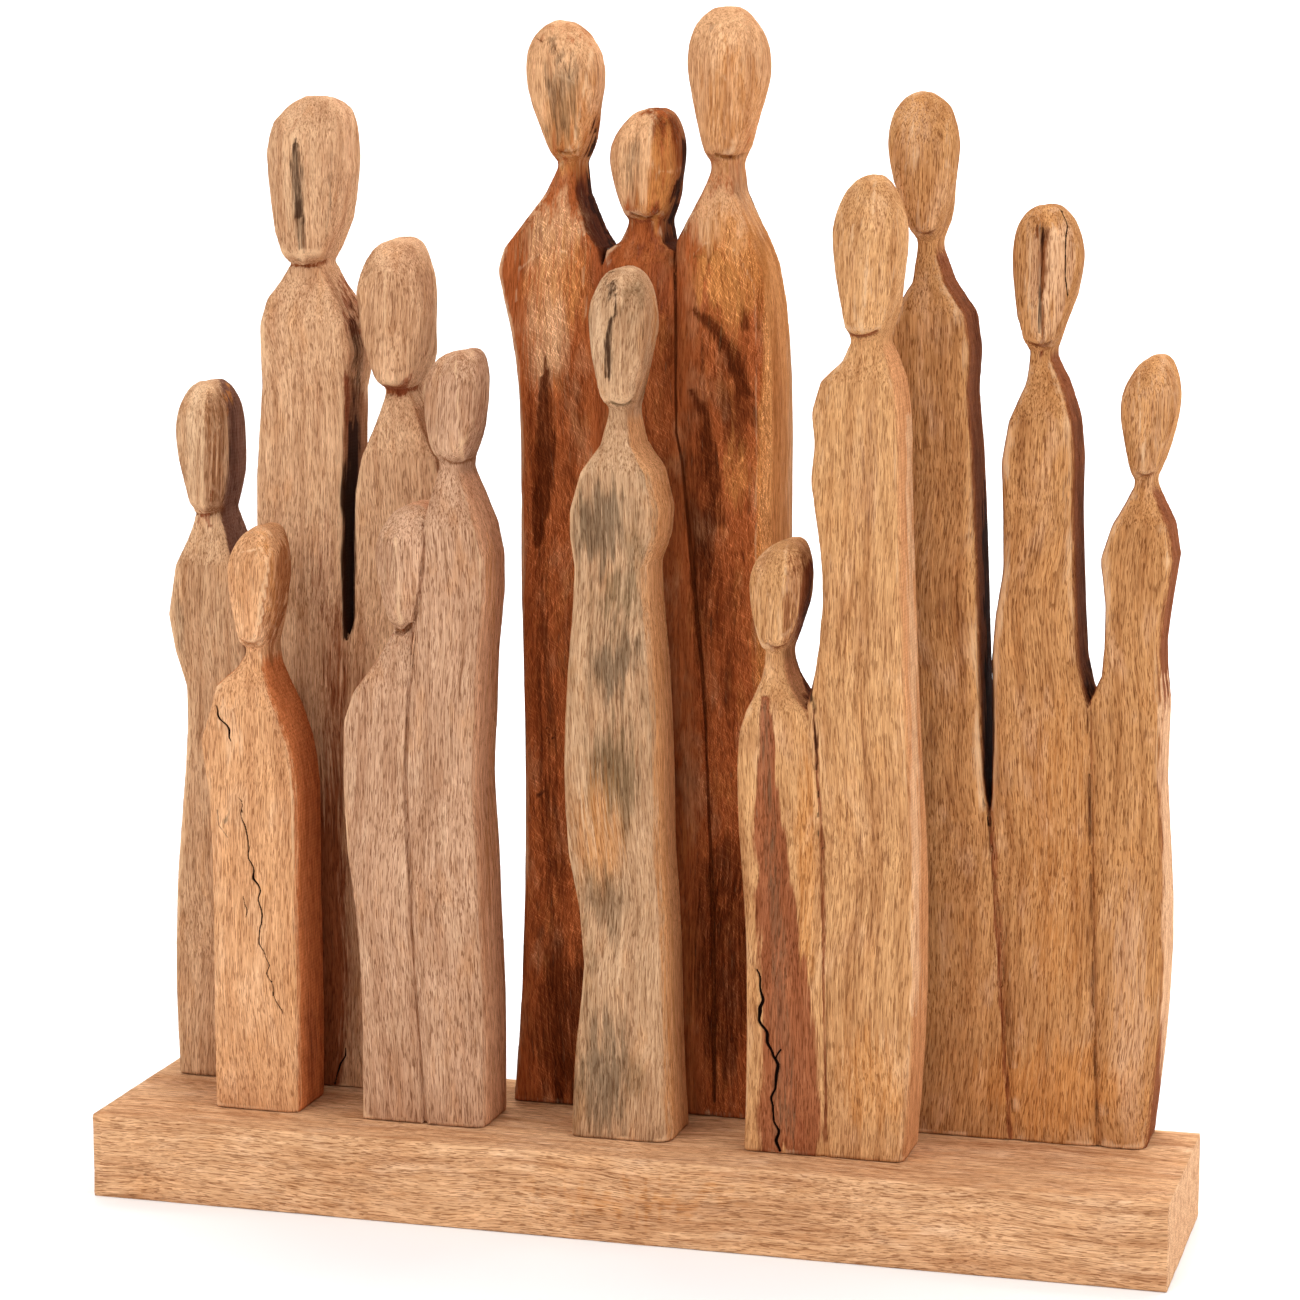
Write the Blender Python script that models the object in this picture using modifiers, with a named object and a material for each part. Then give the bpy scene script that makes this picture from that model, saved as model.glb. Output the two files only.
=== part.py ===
"""Group of faceless standing figures carved from mango planks, on one base board.

The planks are sawn to the figures' outlines and carved on their front: chamfered edges,
a chin cut in above each neck, and a rounded crown. Planks of two or three figures are one
piece of wood, parted by slots, notches and a V groove where the figures stand together.
Metres, +Z up. The origin is the middle of the board's underside, and the figures face -Y.
"""

from math import sqrt, radians

import bpy
import bmesh

MM = 0.001

# Main sizes. The outlines below are drawn in millimetres for a group of the drawn length and
# height, and are stretched to these.
BOARD_LENGTH = 500 * MM
TALLEST_FIGURE = 506.5 * MM
DRAWN_LENGTH = 500
DRAWN_HEIGHT = 506.5
ACROSS = BOARD_LENGTH / DRAWN_LENGTH
UPWARD = TALLEST_FIGURE / DRAWN_HEIGHT

# Base board
BOARD_DEPTH = 110 * MM
BOARD_THICKNESS = 39.5 * MM
BOARD_EDGE_ROUND = 1.0 * MM

# Planks: thickness of each row, and how far the rows stand from the board's long edges
FRONT_PLANK_THICKNESS = 35 * MM
BACK_PLANK_THICKNESS = 35 * MM
FRONT_ROW_SETBACK = 26 * MM
BACK_ROW_SETBACK = 1.0 * MM
SEAT_GAP = 0.3 * MM

# Carving that all the figures share
EDGE_CHAMFER = 3.0 * MM
BACK_CHAMFER = 1.4 * MM
HEAD_BACK_CHAMFER = 3.5 * MM
HEAD_BACK_TAPER = 6.5 * MM
HEAD_TAPER_LENGTH = 16 * MM
NECK_RECESS = 5.5 * MM
NECK_BACK_RECESS = 3.5 * MM
CHIN_STEP = 4.0 * MM
CROWN_ROLL_FRONT = 12.0 * MM
CROWN_ROLL_BACK = 9.0 * MM
FACE_RIDGE = 1.4 * MM
CHEST_SWELL = 0.3 * MM
JOINED_CHAMFER = 0.05 * MM
HEAD_CHAMFER_SHARE = 0.42
HEAD_CHAMFER_DEPTH_SHARE = 0.60
CORNER_SHARE = 0.27
SHOULDER_EASE = 26 * MM
SMALLEST_HALF_WIDTH = 2.5 * MM
LONGEST_FACET = 26 * MM
CHAMFER_LIMIT_SHARE = 0.4
BACK_CHAMFER_LIMIT_SHARE = 0.5
BODY_CHAMFER_LIMIT_SHARE = 0.3
CROWN_FROM_SHARE = 0.58
NAPE_SHARE = 0.35
TAPER_FROM_SHARE = 0.4
HEAD_ROUNDING_SHARE = 0.45
LEAN_CURVE = 1.5
SAWN_WOOD_ROUGHNESS = 0.72
HEAD_STATIONS = (0.0, 0.06, 0.15, 0.27, 0.4, 0.53, 0.65, 0.76, 0.85, 0.92, 0.965, 0.995)

# Wood colours, linear
MANGO_TAN = (0.47, 0.25, 0.12, 1.0)
MANGO_GREY = (0.42, 0.29, 0.18, 1.0)
MANGO_RED = (0.36, 0.13, 0.05, 1.0)
MANGO_PALE = (0.55, 0.30, 0.15, 1.0)


class Head:
    """An egg-shaped head: widest above its middle and drawn in to the chin. It narrows to
    its back, unless the plank's sawn sides are left on it."""

    def __init__(self, chin, top, middle, width, lean=0, widest=0.64, jaw=1.7, crown=2.0,
                 ridge_at=0.5, sawn_sides=False):
        self.chin = chin * UPWARD
        self.top = top * UPWARD
        self.middle = middle * ACROSS
        self.half = width / 2 * ACROSS
        self.lean = lean * ACROSS
        self.widest = widest
        self.jaw = jaw
        self.crown = crown
        self.ridge_at = ridge_at
        self.sawn_sides = sawn_sides

    def height_at(self, share):
        return self.chin + (self.top - self.chin) * share

    def half_width_at(self, share, neck_half):
        if share > self.widest:
            rise = (share - self.widest) / (1 - self.widest)
            return self.half * (1 - rise ** self.crown) ** (1 / self.crown)
        fall = (self.widest - share) / self.widest
        return neck_half + (self.half - neck_half) * (1 - fall ** self.jaw)

    def middle_at(self, share, neck_middle):
        if share > self.widest:
            rise = (share - self.widest) / (1 - self.widest)
            return self.middle + self.lean * rise ** LEAN_CURVE
        return neck_middle + (self.middle - neck_middle) * smooth_step(0, self.widest, share)


class Figure:
    """One figure. Each level is its height above the board, its left and its right edge,
    in millimetres from the plank's left foot corner; the levels go from the hem up to the
    neck. below_left and below_right are the heights under which a neighbour of the same
    plank is joined to that side, and neighbours' edges cross there by a millimetre."""

    def __init__(self, head, below_left=0, below_right=0, right_chamfer=None, **levels):
        self.head = head
        self.right_chamfer = EDGE_CHAMFER if right_chamfer is None else right_chamfer * MM
        self.below_left = below_left * UPWARD
        self.below_right = below_right * UPWARD
        self.levels = [(height * UPWARD, left * ACROSS, right * ACROSS)
                       for height, left, right in levels.values()]
        self.neck_height, neck_left, neck_right = self.levels[-1]
        self.neck_half = (neck_right - neck_left) / 2
        self.neck_middle = (neck_right + neck_left) / 2


class Plank:
    """One piece of wood, standing gap to the right of the piece before it in its row."""

    def __init__(self, gap, colour, *figures):
        self.gap = gap * ACROSS
        self.colour = colour
        self.figures = figures

    def foot_width(self):
        return max(figure.levels[0][2] for figure in self.figures)


BACK_ROW = {
    "back_left_single": Plank(
        11.5, MANGO_TAN,
        Figure(
            Head(chin=274, top=335, middle=15.7, width=25, lean=1, jaw=2.4, ridge_at=0.55,
                 sawn_sides=True),
            hem=(0, 0, 37), calf=(45, -1, 37), knee=(100, 1, 37), thigh=(150, 6, 38),
            waist=(190, 7.5, 39), chest=(207, 2, 39), shoulder=(224, -1, 36.5),
            collar=(248, 3, 33), throat=(262, 9, 28.5), neck=(272, 12, 25))),
    "back_left_pair": Plank(
        8, MANGO_TAN,
        Figure(
            Head(chin=391, top=467.5, middle=24.2, width=37.5, lean=4.5, jaw=2.4, crown=2.5,
                 sawn_sides=True),
            hem=(0, 0, 45), knee=(110, 0, 45), slot_foot=(214, 0, 45), slot=(226, 0, 43.5),
            waist=(291, 0, 44), chest=(334, 3.5, 45.5), shoulder=(350, 3, 48),
            upper=(363, 3, 46), collar=(374, 6, 41), throat=(383, 12.5, 35), neck=(390, 16.5, 32),
            below_right=220),
        Figure(
            Head(chin=333, top=403, middle=67, width=35.5, lean=2, jaw=2.5),
            hem=(0, 44, 94), knee=(110, 44, 94), slot_foot=(214, 44, 94), slot=(226, 48, 94),
            waist=(262, 48, 94), shoulder=(286, 49, 93), collar=(302, 52.5, 89),
            throat=(318, 59, 81), neck=(331, 62.5, 75.5),
            below_left=220)),
    "back_centre_trio": Plank(
        31, MANGO_RED,
        Figure(
            Head(chin=438, top=501, middle=24, width=35, lean=-2),
            hem=(0, 0, 46), calf=(55, 4, 46), thigh=(150, 6.5, 46), waist=(235, 5, 46),
            chest=(330, 4.5, 46), upper=(362, 0.5, 45.5), shoulder=(389, -5.5, 44.5),
            notch=(399, -2.5, 43), collar=(407, 4, 37.5), throat=(424, 16.5, 31.5), neck=(435, 22, 31),
            below_right=396),
        Figure(
            Head(chin=412, top=462, middle=62.8, width=33.5, lean=3.5, widest=0.6, jaw=2.0),
            hem=(0, 45, 98), calf=(53, 45, 98), knee=(118, 45, 97), thigh=(178, 45, 96),
            hip=(217, 45, 91), waist=(292, 45, 85), chest=(340, 45, 80.5), shoulder=(392, 44, 79),
            notch=(398.5, 45, 77.5), collar=(402, 51, 72), neck=(409, 54.5, 71),
            below_left=396, below_right=396),
        Figure(
            Head(chin=438, top=506.5, middle=100.3, width=36, lean=-1, jaw=1.6, crown=2.2),
            hem=(0, 97, 125), calf=(53, 97, 126), knee=(118, 96, 126.5), thigh=(178, 95, 126.5),
            hip=(217, 90, 126), waist=(292, 84, 126), chest=(340, 79.5, 125.5),
            upper=(375, 78.5, 122.5), shoulder=(392, 78, 119.5), notch=(403, 79, 115),
            collar=(413, 84, 110), throat=(425, 89.5, 105), neck=(434, 93.5, 104.5),
            below_left=398, right_chamfer=7.5)),
    "back_right_trio": Plank(
        50, MANGO_TAN,
        Figure(
            Head(chin=404, top=469.5, middle=13.9, width=32, lean=-1, jaw=1.5),
            hem=(0, 0, 64), calf=(40, 1, 61), knee=(90, 1, 57), slot_foot=(146, 1, 50.5),
            slot=(158, 0, 48), hip=(190, 0, 45.5), waist=(257, 0, 42.5), chest=(312, -1, 39.5),
            upper=(338, -2, 37), shoulder=(356, -2, 38), collar=(372, 3, 35.5),
            throat=(386, 11, 26), neck=(400, 12.5, 21),
            below_right=150, right_chamfer=4),
        Figure(
            Head(chin=357, top=420.5, middle=70.3, width=31, lean=-0.5, jaw=1.6),
            hem=(0, 63, 103), calf=(40, 60, 100), knee=(90, 56, 98), slot_foot=(146, 49.5, 95.5),
            slot=(158, 50.5, 95), hip=(199, 50, 94), notch=(206, 50, 91.5), crook=(219, 49.5, 88.5),
            waist=(240, 51, 87), belly=(260, 54, 86), chest=(285, 53.5, 85),
            shoulder=(308, 52.5, 85), collar=(326, 55.5, 83.5), throat=(342, 62, 78.5),
            neck=(353, 63.5, 73),
            below_left=150, below_right=200, right_chamfer=4.5),
        Figure(
            Head(chin=301, top=355.5, middle=116, width=24.5, lean=3, widest=0.58, jaw=1.5),
            hem=(0, 102, 123), calf=(40, 99, 127), knee=(90, 97, 129.5), thigh=(128, 95.5, 128),
            hip=(165, 94.5, 125.5), belly=(199, 92.5, 126), notch=(206, 95, 125.5),
            crook=(214, 98.5, 124.5), waist=(228, 99.5, 124), chest=(246, 99.5, 126),
            shoulder=(266, 97, 129), collar=(281, 101.5, 126.5), throat=(291, 107, 121.5),
            neck=(298, 110.5, 118.5),
            below_left=200, right_chamfer=6)),
}

FRONT_ROW = {
    "front_left_single": Plank(
        50.5, MANGO_PALE,
        Figure(
            Head(chin=217, top=273, middle=21.7, width=25.5, lean=2, jaw=1.6),
            hem=(0, 0, 42), calf=(50, 0, 42.5), knee=(100, 0.5, 42), waist=(150, -0.5, 42.5),
            chest=(164, -3, 41), shoulder=(174, -4, 39), upper=(188, 1, 34),
            collar=(199, 3, 29), throat=(208, 13, 26), neck=(214, 16.5, 25.5),
            right_chamfer=5)),
    "front_left_pair": Plank(
        31, MANGO_GREY,
        Figure(
            Head(chin=230, top=286, middle=22.3, width=30, lean=4, jaw=1.8),
            hem=(0, 0, 32), calf=(59, 0, 30), knee=(95, -2, 28), hip=(125, -6, 24.5),
            waist=(160, -7.5, 23.5), shoulder=(186, -7, 25), collar=(200, -2, 27),
            throat=(214, 8.5, 28.5), neck=(228, 16, 29.5),
            below_right=287),
        Figure(
            Head(chin=306, top=355.5, middle=45, width=27.5, lean=4.5, jaw=1.8),
            hem=(0, 31, 60), calf=(59, 29, 60), knee=(95, 27, 58.5), hip=(125, 23.5, 57.5),
            waist=(160, 22.5, 55.5), rib=(190, 23.5, 57), chest=(218, 26, 58),
            upper=(245, 30, 61), shoulder=(262, 31.5, 61), collar=(276, 32, 58),
            throat=(288, 34.5, 53.5), neck=(302, 38, 48),
            below_left=287, right_chamfer=5)),
    "front_centre_single": Plank(
        41, MANGO_GREY,
        Figure(
            Head(chin=332, top=393, middle=21.7, width=29.5, lean=1, jaw=1.6),
            hem=(0, 0, 47), calf=(40, 2, 45), knee=(80, 6, 44), thigh=(105, 4, 43),
            hip=(130, -1, 41), belly=(171, -3, 40), waist=(215, -1, 38), rib=(246, 1.5, 35),
            chest=(261, 2, 34.5), upper=(274, 0, 39), shoulder=(286, 0, 40), collar=(303, 5, 36),
            throat=(315, 13.5, 28), neck=(328, 16.5, 25.5), right_chamfer=8)),
    "front_right_pair": Plank(
        34, MANGO_PALE,
        Figure(
            Head(chin=226, top=274.5, middle=13.4, width=27, lean=3),
            hem=(0, 0, 38), calf=(50, 1, 38.5), knee=(104, 0, 38), hip=(145, -3, 36),
            waist=(175, -4, 33), shoulder=(190, -3, 30.5), notch=(200, 0, 28),
            collar=(206, 3, 22.5), throat=(214, 6, 18), neck=(222, 7.5, 16),
            below_right=197),
        Figure(
            Head(chin=364, top=433.5, middle=52.1, width=32, widest=0.6, jaw=1.7),
            hem=(0, 37, 73.5), calf=(50, 37.5, 76.5), knee=(104, 37, 77), hip=(145, 35, 75.5),
            waist=(175, 32, 73.5), notch=(203, 27.5, 72), crook=(218, 31, 71),
            belly=(245, 34, 70), rib=(278, 32, 68.5), chest=(302, 28.5, 67.5),
            upper=(318, 30, 67.5), shoulder=(332, 28.5, 66.5), collar=(345, 32, 65),
            throat=(354, 41, 62), neck=(362, 44.5, 58.5),
            below_left=197, right_chamfer=4.5)),
}


def clear_scene():
    for item in list(bpy.data.objects):
        bpy.data.objects.remove(item, do_unlink=True)


def new_collection(name):
    collection = bpy.data.collections.new(name)
    bpy.context.scene.collection.children.link(collection)
    return collection


def wood(name, colour):
    material = bpy.data.materials.new(name)
    material.use_nodes = True
    shader = material.node_tree.nodes["Principled BSDF"]
    shader.inputs["Base Color"].default_value = colour
    shader.inputs["Roughness"].default_value = SAWN_WOOD_ROUGHNESS
    shader.inputs["Metallic"].default_value = 0.0
    return material


def smooth_step(low, high, value):
    share = min(max((value - low) / (high - low), 0.0), 1.0)
    return share * share * (3 - 2 * share)


def smooth_through(heights, values, height):
    """Cubic curve through the levels, with each slope taken from its neighbours."""
    last = len(heights) - 1
    slopes = []
    for i in range(last + 1):
        below, above = max(i - 1, 0), min(i + 1, last)
        slopes.append((values[above] - values[below]) / (heights[above] - heights[below]))
    i = next(k for k in range(last) if height <= heights[k + 1] or k == last - 1)
    span = heights[i + 1] - heights[i]
    t = (height - heights[i]) / span
    return ((2 * t**3 - 3 * t**2 + 1) * values[i] + (t**3 - 2 * t**2 + t) * span * slopes[i]
            + (3 * t**2 - 2 * t**3) * values[i + 1] + (t**3 - t**2) * span * slopes[i + 1])


def body_stations(figure):
    """The heights of the levels, with more between levels that are far apart."""
    heights = [level[0] for level in figure.levels]
    stations = [heights[0]]
    for low, high in zip(heights, heights[1:]):
        steps = int((high - low) / LONGEST_FACET) + 1
        stations += [low + (high - low) * (k + 1) / steps for k in range(steps)]
    return stations


def section(left, right, front, back, left_chamfer, right_chamfer, ridge, back_left, back_right,
            front_steepness=1.0, back_steepness=1.0):
    """A plank section seen from above: chamfered corners and a low ridge in front.
    The ridge is its place across the width, as a share, and its height. The steepness is a
    chamfer's depth over its width."""
    ridge_at, ridge_height = ridge
    width = right - left
    near = min(left_chamfer, width * CHAMFER_LIMIT_SHARE)
    far = min(right_chamfer, width * CHAMFER_LIMIT_SHARE)
    near_side = min(near * front_steepness, (back - front) * CHAMFER_LIMIT_SHARE)
    far_side = min(far * front_steepness, (back - front) * CHAMFER_LIMIT_SHARE)
    near_back = min(back_left * back_steepness, (back - front) * BACK_CHAMFER_LIMIT_SHARE)
    far_back = min(back_right * back_steepness, (back - front) * BACK_CHAMFER_LIMIT_SHARE)
    return [
        (left + back_left, back), (left, back - near_back),
        (left, front + near_side),
        (left + near * CORNER_SHARE, front + near_side * CORNER_SHARE),
        (left + near, front),
        (left + width * ridge_at, front - ridge_height),
        (right - far, front),
        (right - far * CORNER_SHARE, front + far_side * CORNER_SHARE),
        (right, front + far_side),
        (right, back - far_back), (right - back_right, back),
    ]


def body_section(figure, height, thickness):
    heights, lefts, rights = zip(*figure.levels)
    left = smooth_through(heights, lefts, height)
    right = smooth_through(heights, rights, height)
    neckness = smooth_step(figure.neck_height - SHOULDER_EASE, figure.neck_height, height)
    back_left = JOINED_CHAMFER if height < figure.below_left else BACK_CHAMFER
    back_right = JOINED_CHAMFER if height < figure.below_right else BACK_CHAMFER
    widest = (right - left) * BODY_CHAMFER_LIMIT_SHARE
    return section(left, right, NECK_RECESS * neckness, thickness - NECK_BACK_RECESS * neckness,
                   min(EDGE_CHAMFER, widest), min(figure.right_chamfer, widest),
                   (0.5, CHEST_SWELL), back_left, back_right)


def head_section(figure, share, thickness):
    head = figure.head
    half = max(head.half_width_at(share, figure.neck_half), SMALLEST_HALF_WIDTH)
    middle = head.middle_at(share, figure.neck_middle)
    rise = max(0.0, (share - CROWN_FROM_SHARE) / (1 - CROWN_FROM_SHARE))
    roll = 1 - sqrt(max(0.0, 1 - rise * rise))
    chin_forward = smooth_step(0.0, CHIN_STEP / (head.top - head.chin), share)
    nape = 1 - smooth_step(0.0, NAPE_SHARE, share)
    front = NECK_RECESS * (1 - chin_forward) + CROWN_ROLL_FRONT * roll
    back = thickness - NECK_BACK_RECESS * nape - CROWN_ROLL_BACK * roll
    chamfer = half * HEAD_CHAMFER_SHARE
    fullness = smooth_step(0.0, TAPER_FROM_SHARE, share)
    taper = HEAD_BACK_CHAMFER + (HEAD_BACK_TAPER - HEAD_BACK_CHAMFER) * fullness
    steepness = 1 + (HEAD_TAPER_LENGTH / HEAD_BACK_TAPER - 1) * fullness
    if head.sawn_sides:
        taper, steepness = HEAD_BACK_CHAMFER, 1.0
    taper = min(half * HEAD_ROUNDING_SHARE, taper)
    return section(middle - half, middle + half, front, back, chamfer, chamfer,
                   (head.ridge_at, FACE_RIDGE), taper, taper,
                   HEAD_CHAMFER_DEPTH_SHARE / HEAD_CHAMFER_SHARE, steepness)


def loft(name, sections, material, collection):
    """Skin over a stack of sections, each a height and its corner points."""
    shape = bmesh.new()
    rings = [[shape.verts.new((x, y, height)) for x, y in points] for height, points in sections]
    count = len(rings[0])
    for lower, upper in zip(rings, rings[1:]):
        for k in range(count):
            after = (k + 1) % count
            shape.faces.new((lower[k], lower[after], upper[after], upper[k]))
    shape.faces.new(reversed(rings[0]))
    shape.faces.new(rings[-1])
    mesh = bpy.data.meshes.new(name)
    shape.to_mesh(mesh)
    shape.free()
    mesh.materials.append(material)
    mesh.shade_smooth()
    mesh.set_sharp_from_angle(angle=radians(28))
    item = bpy.data.objects.new(name, mesh)
    collection.objects.link(item)
    return item


def carve_figure(name, figure, thickness, material, collection):
    sections = []
    for height in body_stations(figure):
        sections.append((height, body_section(figure, height, thickness)))
    for share in HEAD_STATIONS:
        height = figure.head.height_at(share)
        sections.append((height, head_section(figure, share, thickness)))
    return loft(name, sections, material, collection)


def carve_plank(name, plank, thickness, place, parts, helpers):
    """The first figure keeps the plank's name, and its neighbours are joined to it."""
    material = wood(name + "_wood", plank.colour)
    first = None
    for number, figure in enumerate(plank.figures):
        collection = parts if first is None else helpers
        label = name if first is None else f"{name}_figure_{number + 1}"
        item = carve_figure(label, figure, thickness, material, collection)
        item.location = place
        if first is None:
            first = item
            continue
        item.hide_render = True
        item.display_type = 'WIRE'
        join = first.modifiers.new("join figure", 'BOOLEAN')
        join.operation = 'UNION'
        join.solver = 'EXACT'
        join.object = item


def stand_row(row, front_y, thickness, parts, helpers):
    x = -BOARD_LENGTH / 2
    for name, plank in row.items():
        x += plank.gap
        place = (x, front_y, BOARD_THICKNESS + SEAT_GAP)
        carve_plank(name, plank, thickness, place, parts, helpers)
        x += plank.foot_width()


def saw_board(parts):
    bpy.ops.mesh.primitive_cube_add(size=1)
    board = bpy.context.object
    board.name = "base_board"
    board.data.name = "base_board"
    for vertex in board.data.vertices:
        vertex.co.x *= BOARD_LENGTH
        vertex.co.y *= BOARD_DEPTH
        vertex.co.z = (vertex.co.z + 0.5) * BOARD_THICKNESS
    edges = board.modifiers.new("worn edges", 'BEVEL')
    edges.width = BOARD_EDGE_ROUND
    edges.segments = 3
    board.data.materials.append(wood("base_board_wood", MANGO_TAN))
    for collection in list(board.users_collection):
        collection.objects.unlink(board)
    parts.objects.link(board)


def main():
    clear_scene()
    parts = new_collection("figure_group")
    helpers = new_collection("joined_figures")
    saw_board(parts)
    front_face = -BOARD_DEPTH / 2 + FRONT_ROW_SETBACK
    stand_row(FRONT_ROW, front_face, FRONT_PLANK_THICKNESS, parts, helpers)
    back_face = BOARD_DEPTH / 2 - BACK_ROW_SETBACK
    stand_row(BACK_ROW, back_face - BACK_PLANK_THICKNESS, BACK_PLANK_THICKNESS, parts, helpers)


main()
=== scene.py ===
"""Group of faceless standing figures carved from mango planks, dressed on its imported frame.

Each plank and the board is a close-meshed copy of its solid, with the carver's knife cuts, saw
marks, cracks and worn arrises moved into its surface. The same marks are kept on the mesh as
layers from 0 to 1, and the mango wood materials read them. Marks are placed by the pixels of
the photograph, which the fitted camera turns into places on the planks.
"""

from dataclasses import dataclass
from math import cos, pi, radians, sin
import bmesh
import bpy
import numpy as np
from bpy.props import FloatProperty, FloatVectorProperty, IntProperty, PointerProperty
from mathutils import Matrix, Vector


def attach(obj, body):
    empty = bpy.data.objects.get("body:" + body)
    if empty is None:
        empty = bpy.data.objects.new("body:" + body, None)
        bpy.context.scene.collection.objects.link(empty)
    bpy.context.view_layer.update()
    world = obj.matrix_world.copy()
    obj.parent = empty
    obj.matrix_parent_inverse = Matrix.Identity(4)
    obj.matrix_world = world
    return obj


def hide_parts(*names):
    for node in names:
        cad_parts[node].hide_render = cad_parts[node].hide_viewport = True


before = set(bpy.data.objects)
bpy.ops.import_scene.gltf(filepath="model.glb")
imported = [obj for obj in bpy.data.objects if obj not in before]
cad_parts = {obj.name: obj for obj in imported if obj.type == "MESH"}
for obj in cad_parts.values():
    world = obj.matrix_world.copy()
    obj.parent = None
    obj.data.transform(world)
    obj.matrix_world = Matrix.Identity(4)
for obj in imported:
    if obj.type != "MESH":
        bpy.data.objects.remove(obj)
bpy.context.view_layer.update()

bl_info = {
    "name": "Carved Figure Group",
    "version": (1, 0, 0),
    "blender": (4, 5, 0),
    "location": "View3D > Sidebar > Carving",
    "description": "Carves and finishes a group of mango wood figures on a board",
    "category": "Object",
}

MM = 0.001

# Camera that the photograph was taken from, and the photograph's frame in pixels
CAMERA_AZIMUTH = radians(15.754)
CAMERA_ELEVATION = radians(8.887)
CAMERA_DISTANCE = 1.5771
CAMERA_TARGET = (0.0042, 0.0, 0.2603)
CAMERA_LENS = 96.92
CAMERA_SENSOR = 36.0
PHOTO_SIDE = 1300

# Lights of the stage: place, what it is turned to, size and share of the key light's power
LIGHTS = {
    "key": ((-1.2, -2.1, 2.2), (0, 0, 0.25), 1.6, 1.7),
    "fill": ((2.4, -0.6, 1.9), (0, 0, 0.25), 1.4, 1.9),
    "backdrop": ((0.0, 1.2, 2.6), (0, 3.0, 0.6), 2.0, 5),
}

# Layers that the marks are painted in, each from 0 to 1; the light, dark, pale and char layers also hold
# painted light and shade
LAYERS = ("sawn", "light", "dark", "gold", "rust", "grey", "pale", "char_and_shade", "crack", "knife",
          "facet", "tone")

# Colours of mango wood, sRGB; the bare wood and char colours are also laid as painted highlight and
# painted shade
BARE_WOOD_AND_HIGHLIGHT = "F2C79C"
RUST_RED = "8E4A2E"
WEATHER_GREY = "76604A"
GOLDEN = "CE8A4C"
CHAR_AND_SHADE = "2C140B"
CRACK_DARK = "160B07"

# What grain, pores and strokes do to the colour under them: shares of red, green and blue
STREAK_SHARE = (0.68, 0.57, 0.50)
FIBRE_SHARE = (0.75, 0.68, 0.62)
LIGHT_SHARE = (1.17, 1.20, 1.24)
PORE_SHARE = (0.40, 0.29, 0.23)
SAW_SHARE = (0.72, 0.66, 0.62)
STROKE_SHARE = (1.5, 1.65, 1.8)
GOUGE_SHARE = (0.50, 0.42, 0.40)

# Patterns of the grain: width and length in mm, detail and roughness
GRAIN = {"streaks": (6.0, 120.0, 4.0, 0.6), "fibres": (1.15, 24.0, 4.0, 0.65),
         "threads": (0.45, 10.0, 3.0, 0.7), "pores": (0.45, 6.0, 1.0, 0.5)}
# Drifts of the darker, the lighter and the golden colour: width and length in mm
DRIFTS = ((16.0, 44.0), (11.0, 30.0), (9.0, 26.0))
# Knife strokes: width and length in mm, and each way's turn, threshold, full value and shares
STROKE_SIZE = (0.45, 12.0)
STROKES = ((1.0, 0.58, 0.64, STROKE_SHARE), (-0.8, 0.59, 0.65, STROKE_SHARE),
           (2.0, 0.61, 0.67, STROKE_SHARE), (0.4, 0.46, 0.34, GOUGE_SHARE))
# Where a drift, a pore and a painted mark start and are full, and how far the grain frays marks
DRIFT_SPAN, PORE_SPAN, MARK_SPAN, FRAY = (0.5, 0.72), (0.56, 0.62), (0.15, 0.85), 1.4
# Length in mm over which the grain wanders
WANDER_LENGTH = 1000 / 9
# Distance between the saw lines seen in the colour, and between the waves of an unscaled texture
SAW_LINE_PITCH = 1.6 * MM
WAVE_PERIOD = 0.314

# Bend between two faces that makes an arris
ARRIS_ANGLE = radians(17)

# Halvings of a piece's longest side that its even squares are laid out in
OCTREE_DEPTH = 9

# Lines narrower than this, in pixels, get a finer mesh where they are cut in, within each of
# these margins in pixels
FINE_LINE = 4.0
FINE_MARGINS = (4.5, 2.5)

# How far the edges of stains wander along the fibres, and how shaky cracks are: cells in
# metres, widths in pixels
RAGGED_CELL = (2.2 * MM, 2.2 * MM, 14 * MM)
RAGGED_WIDTH = 7.0
RAGGED_HEIGHT = 60.0
SHAKY_CELL = (6 * MM, 6 * MM, 5 * MM)
SHAKY_WIDTH = 7.0

# Knife scoops on planks and on the board, and the height in a scoop that stays where it was
SCOOP_CELLS = {"z": (12 * MM, 14 * MM, 32 * MM), "x": (90 * MM, 30 * MM, 30 * MM)}
SCOOP_LEVEL = 0.38

# Waves of the cut faces and raised fibres, across and along the grain, then wear and saw marks
WAVE_SIZE = (6 * MM, 38 * MM)
FIBRE_SIZE = (1.8 * MM, 16 * MM)
WEAR_CELL = (9 * MM, 9 * MM, 22 * MM)
SAW_CELL = (12 * MM, 12 * MM, 12 * MM)

# Seeds of the random patterns
WEAR_SEED, WAVE_SEED, FIBRE_SEED, SAW_SEED = 3, 5, 8, 11
RAGGED_SEEDS, SHAKY_SEED, SCOOP_SEED = (21, 22), 23, 31

# Where a soft edge starts and where it is full: a head in its half sizes, the cut under its
# chin and its ridge in pixels, their ends in shares, arrises and crevices in mm
HEAD_EDGE = (1.12, 0.8)
CHIN_EDGE, CHIN_ENDS, CHIN_BOW = (3.4, 0.6), (1.15, 0.85), 5
RIDGE_EDGE, RIDGE_TOP, RIDGE_FOOT = (1.9, 0.5), (-0.08, 0.12), (1.1, 0.95)
FACET_START, FACET_SOFT = (0.0, 2.0), 5
ARRIS_EDGE = (0.08, 0.34)
CREVICE_EDGE = (0.06, 0.3)

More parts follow.
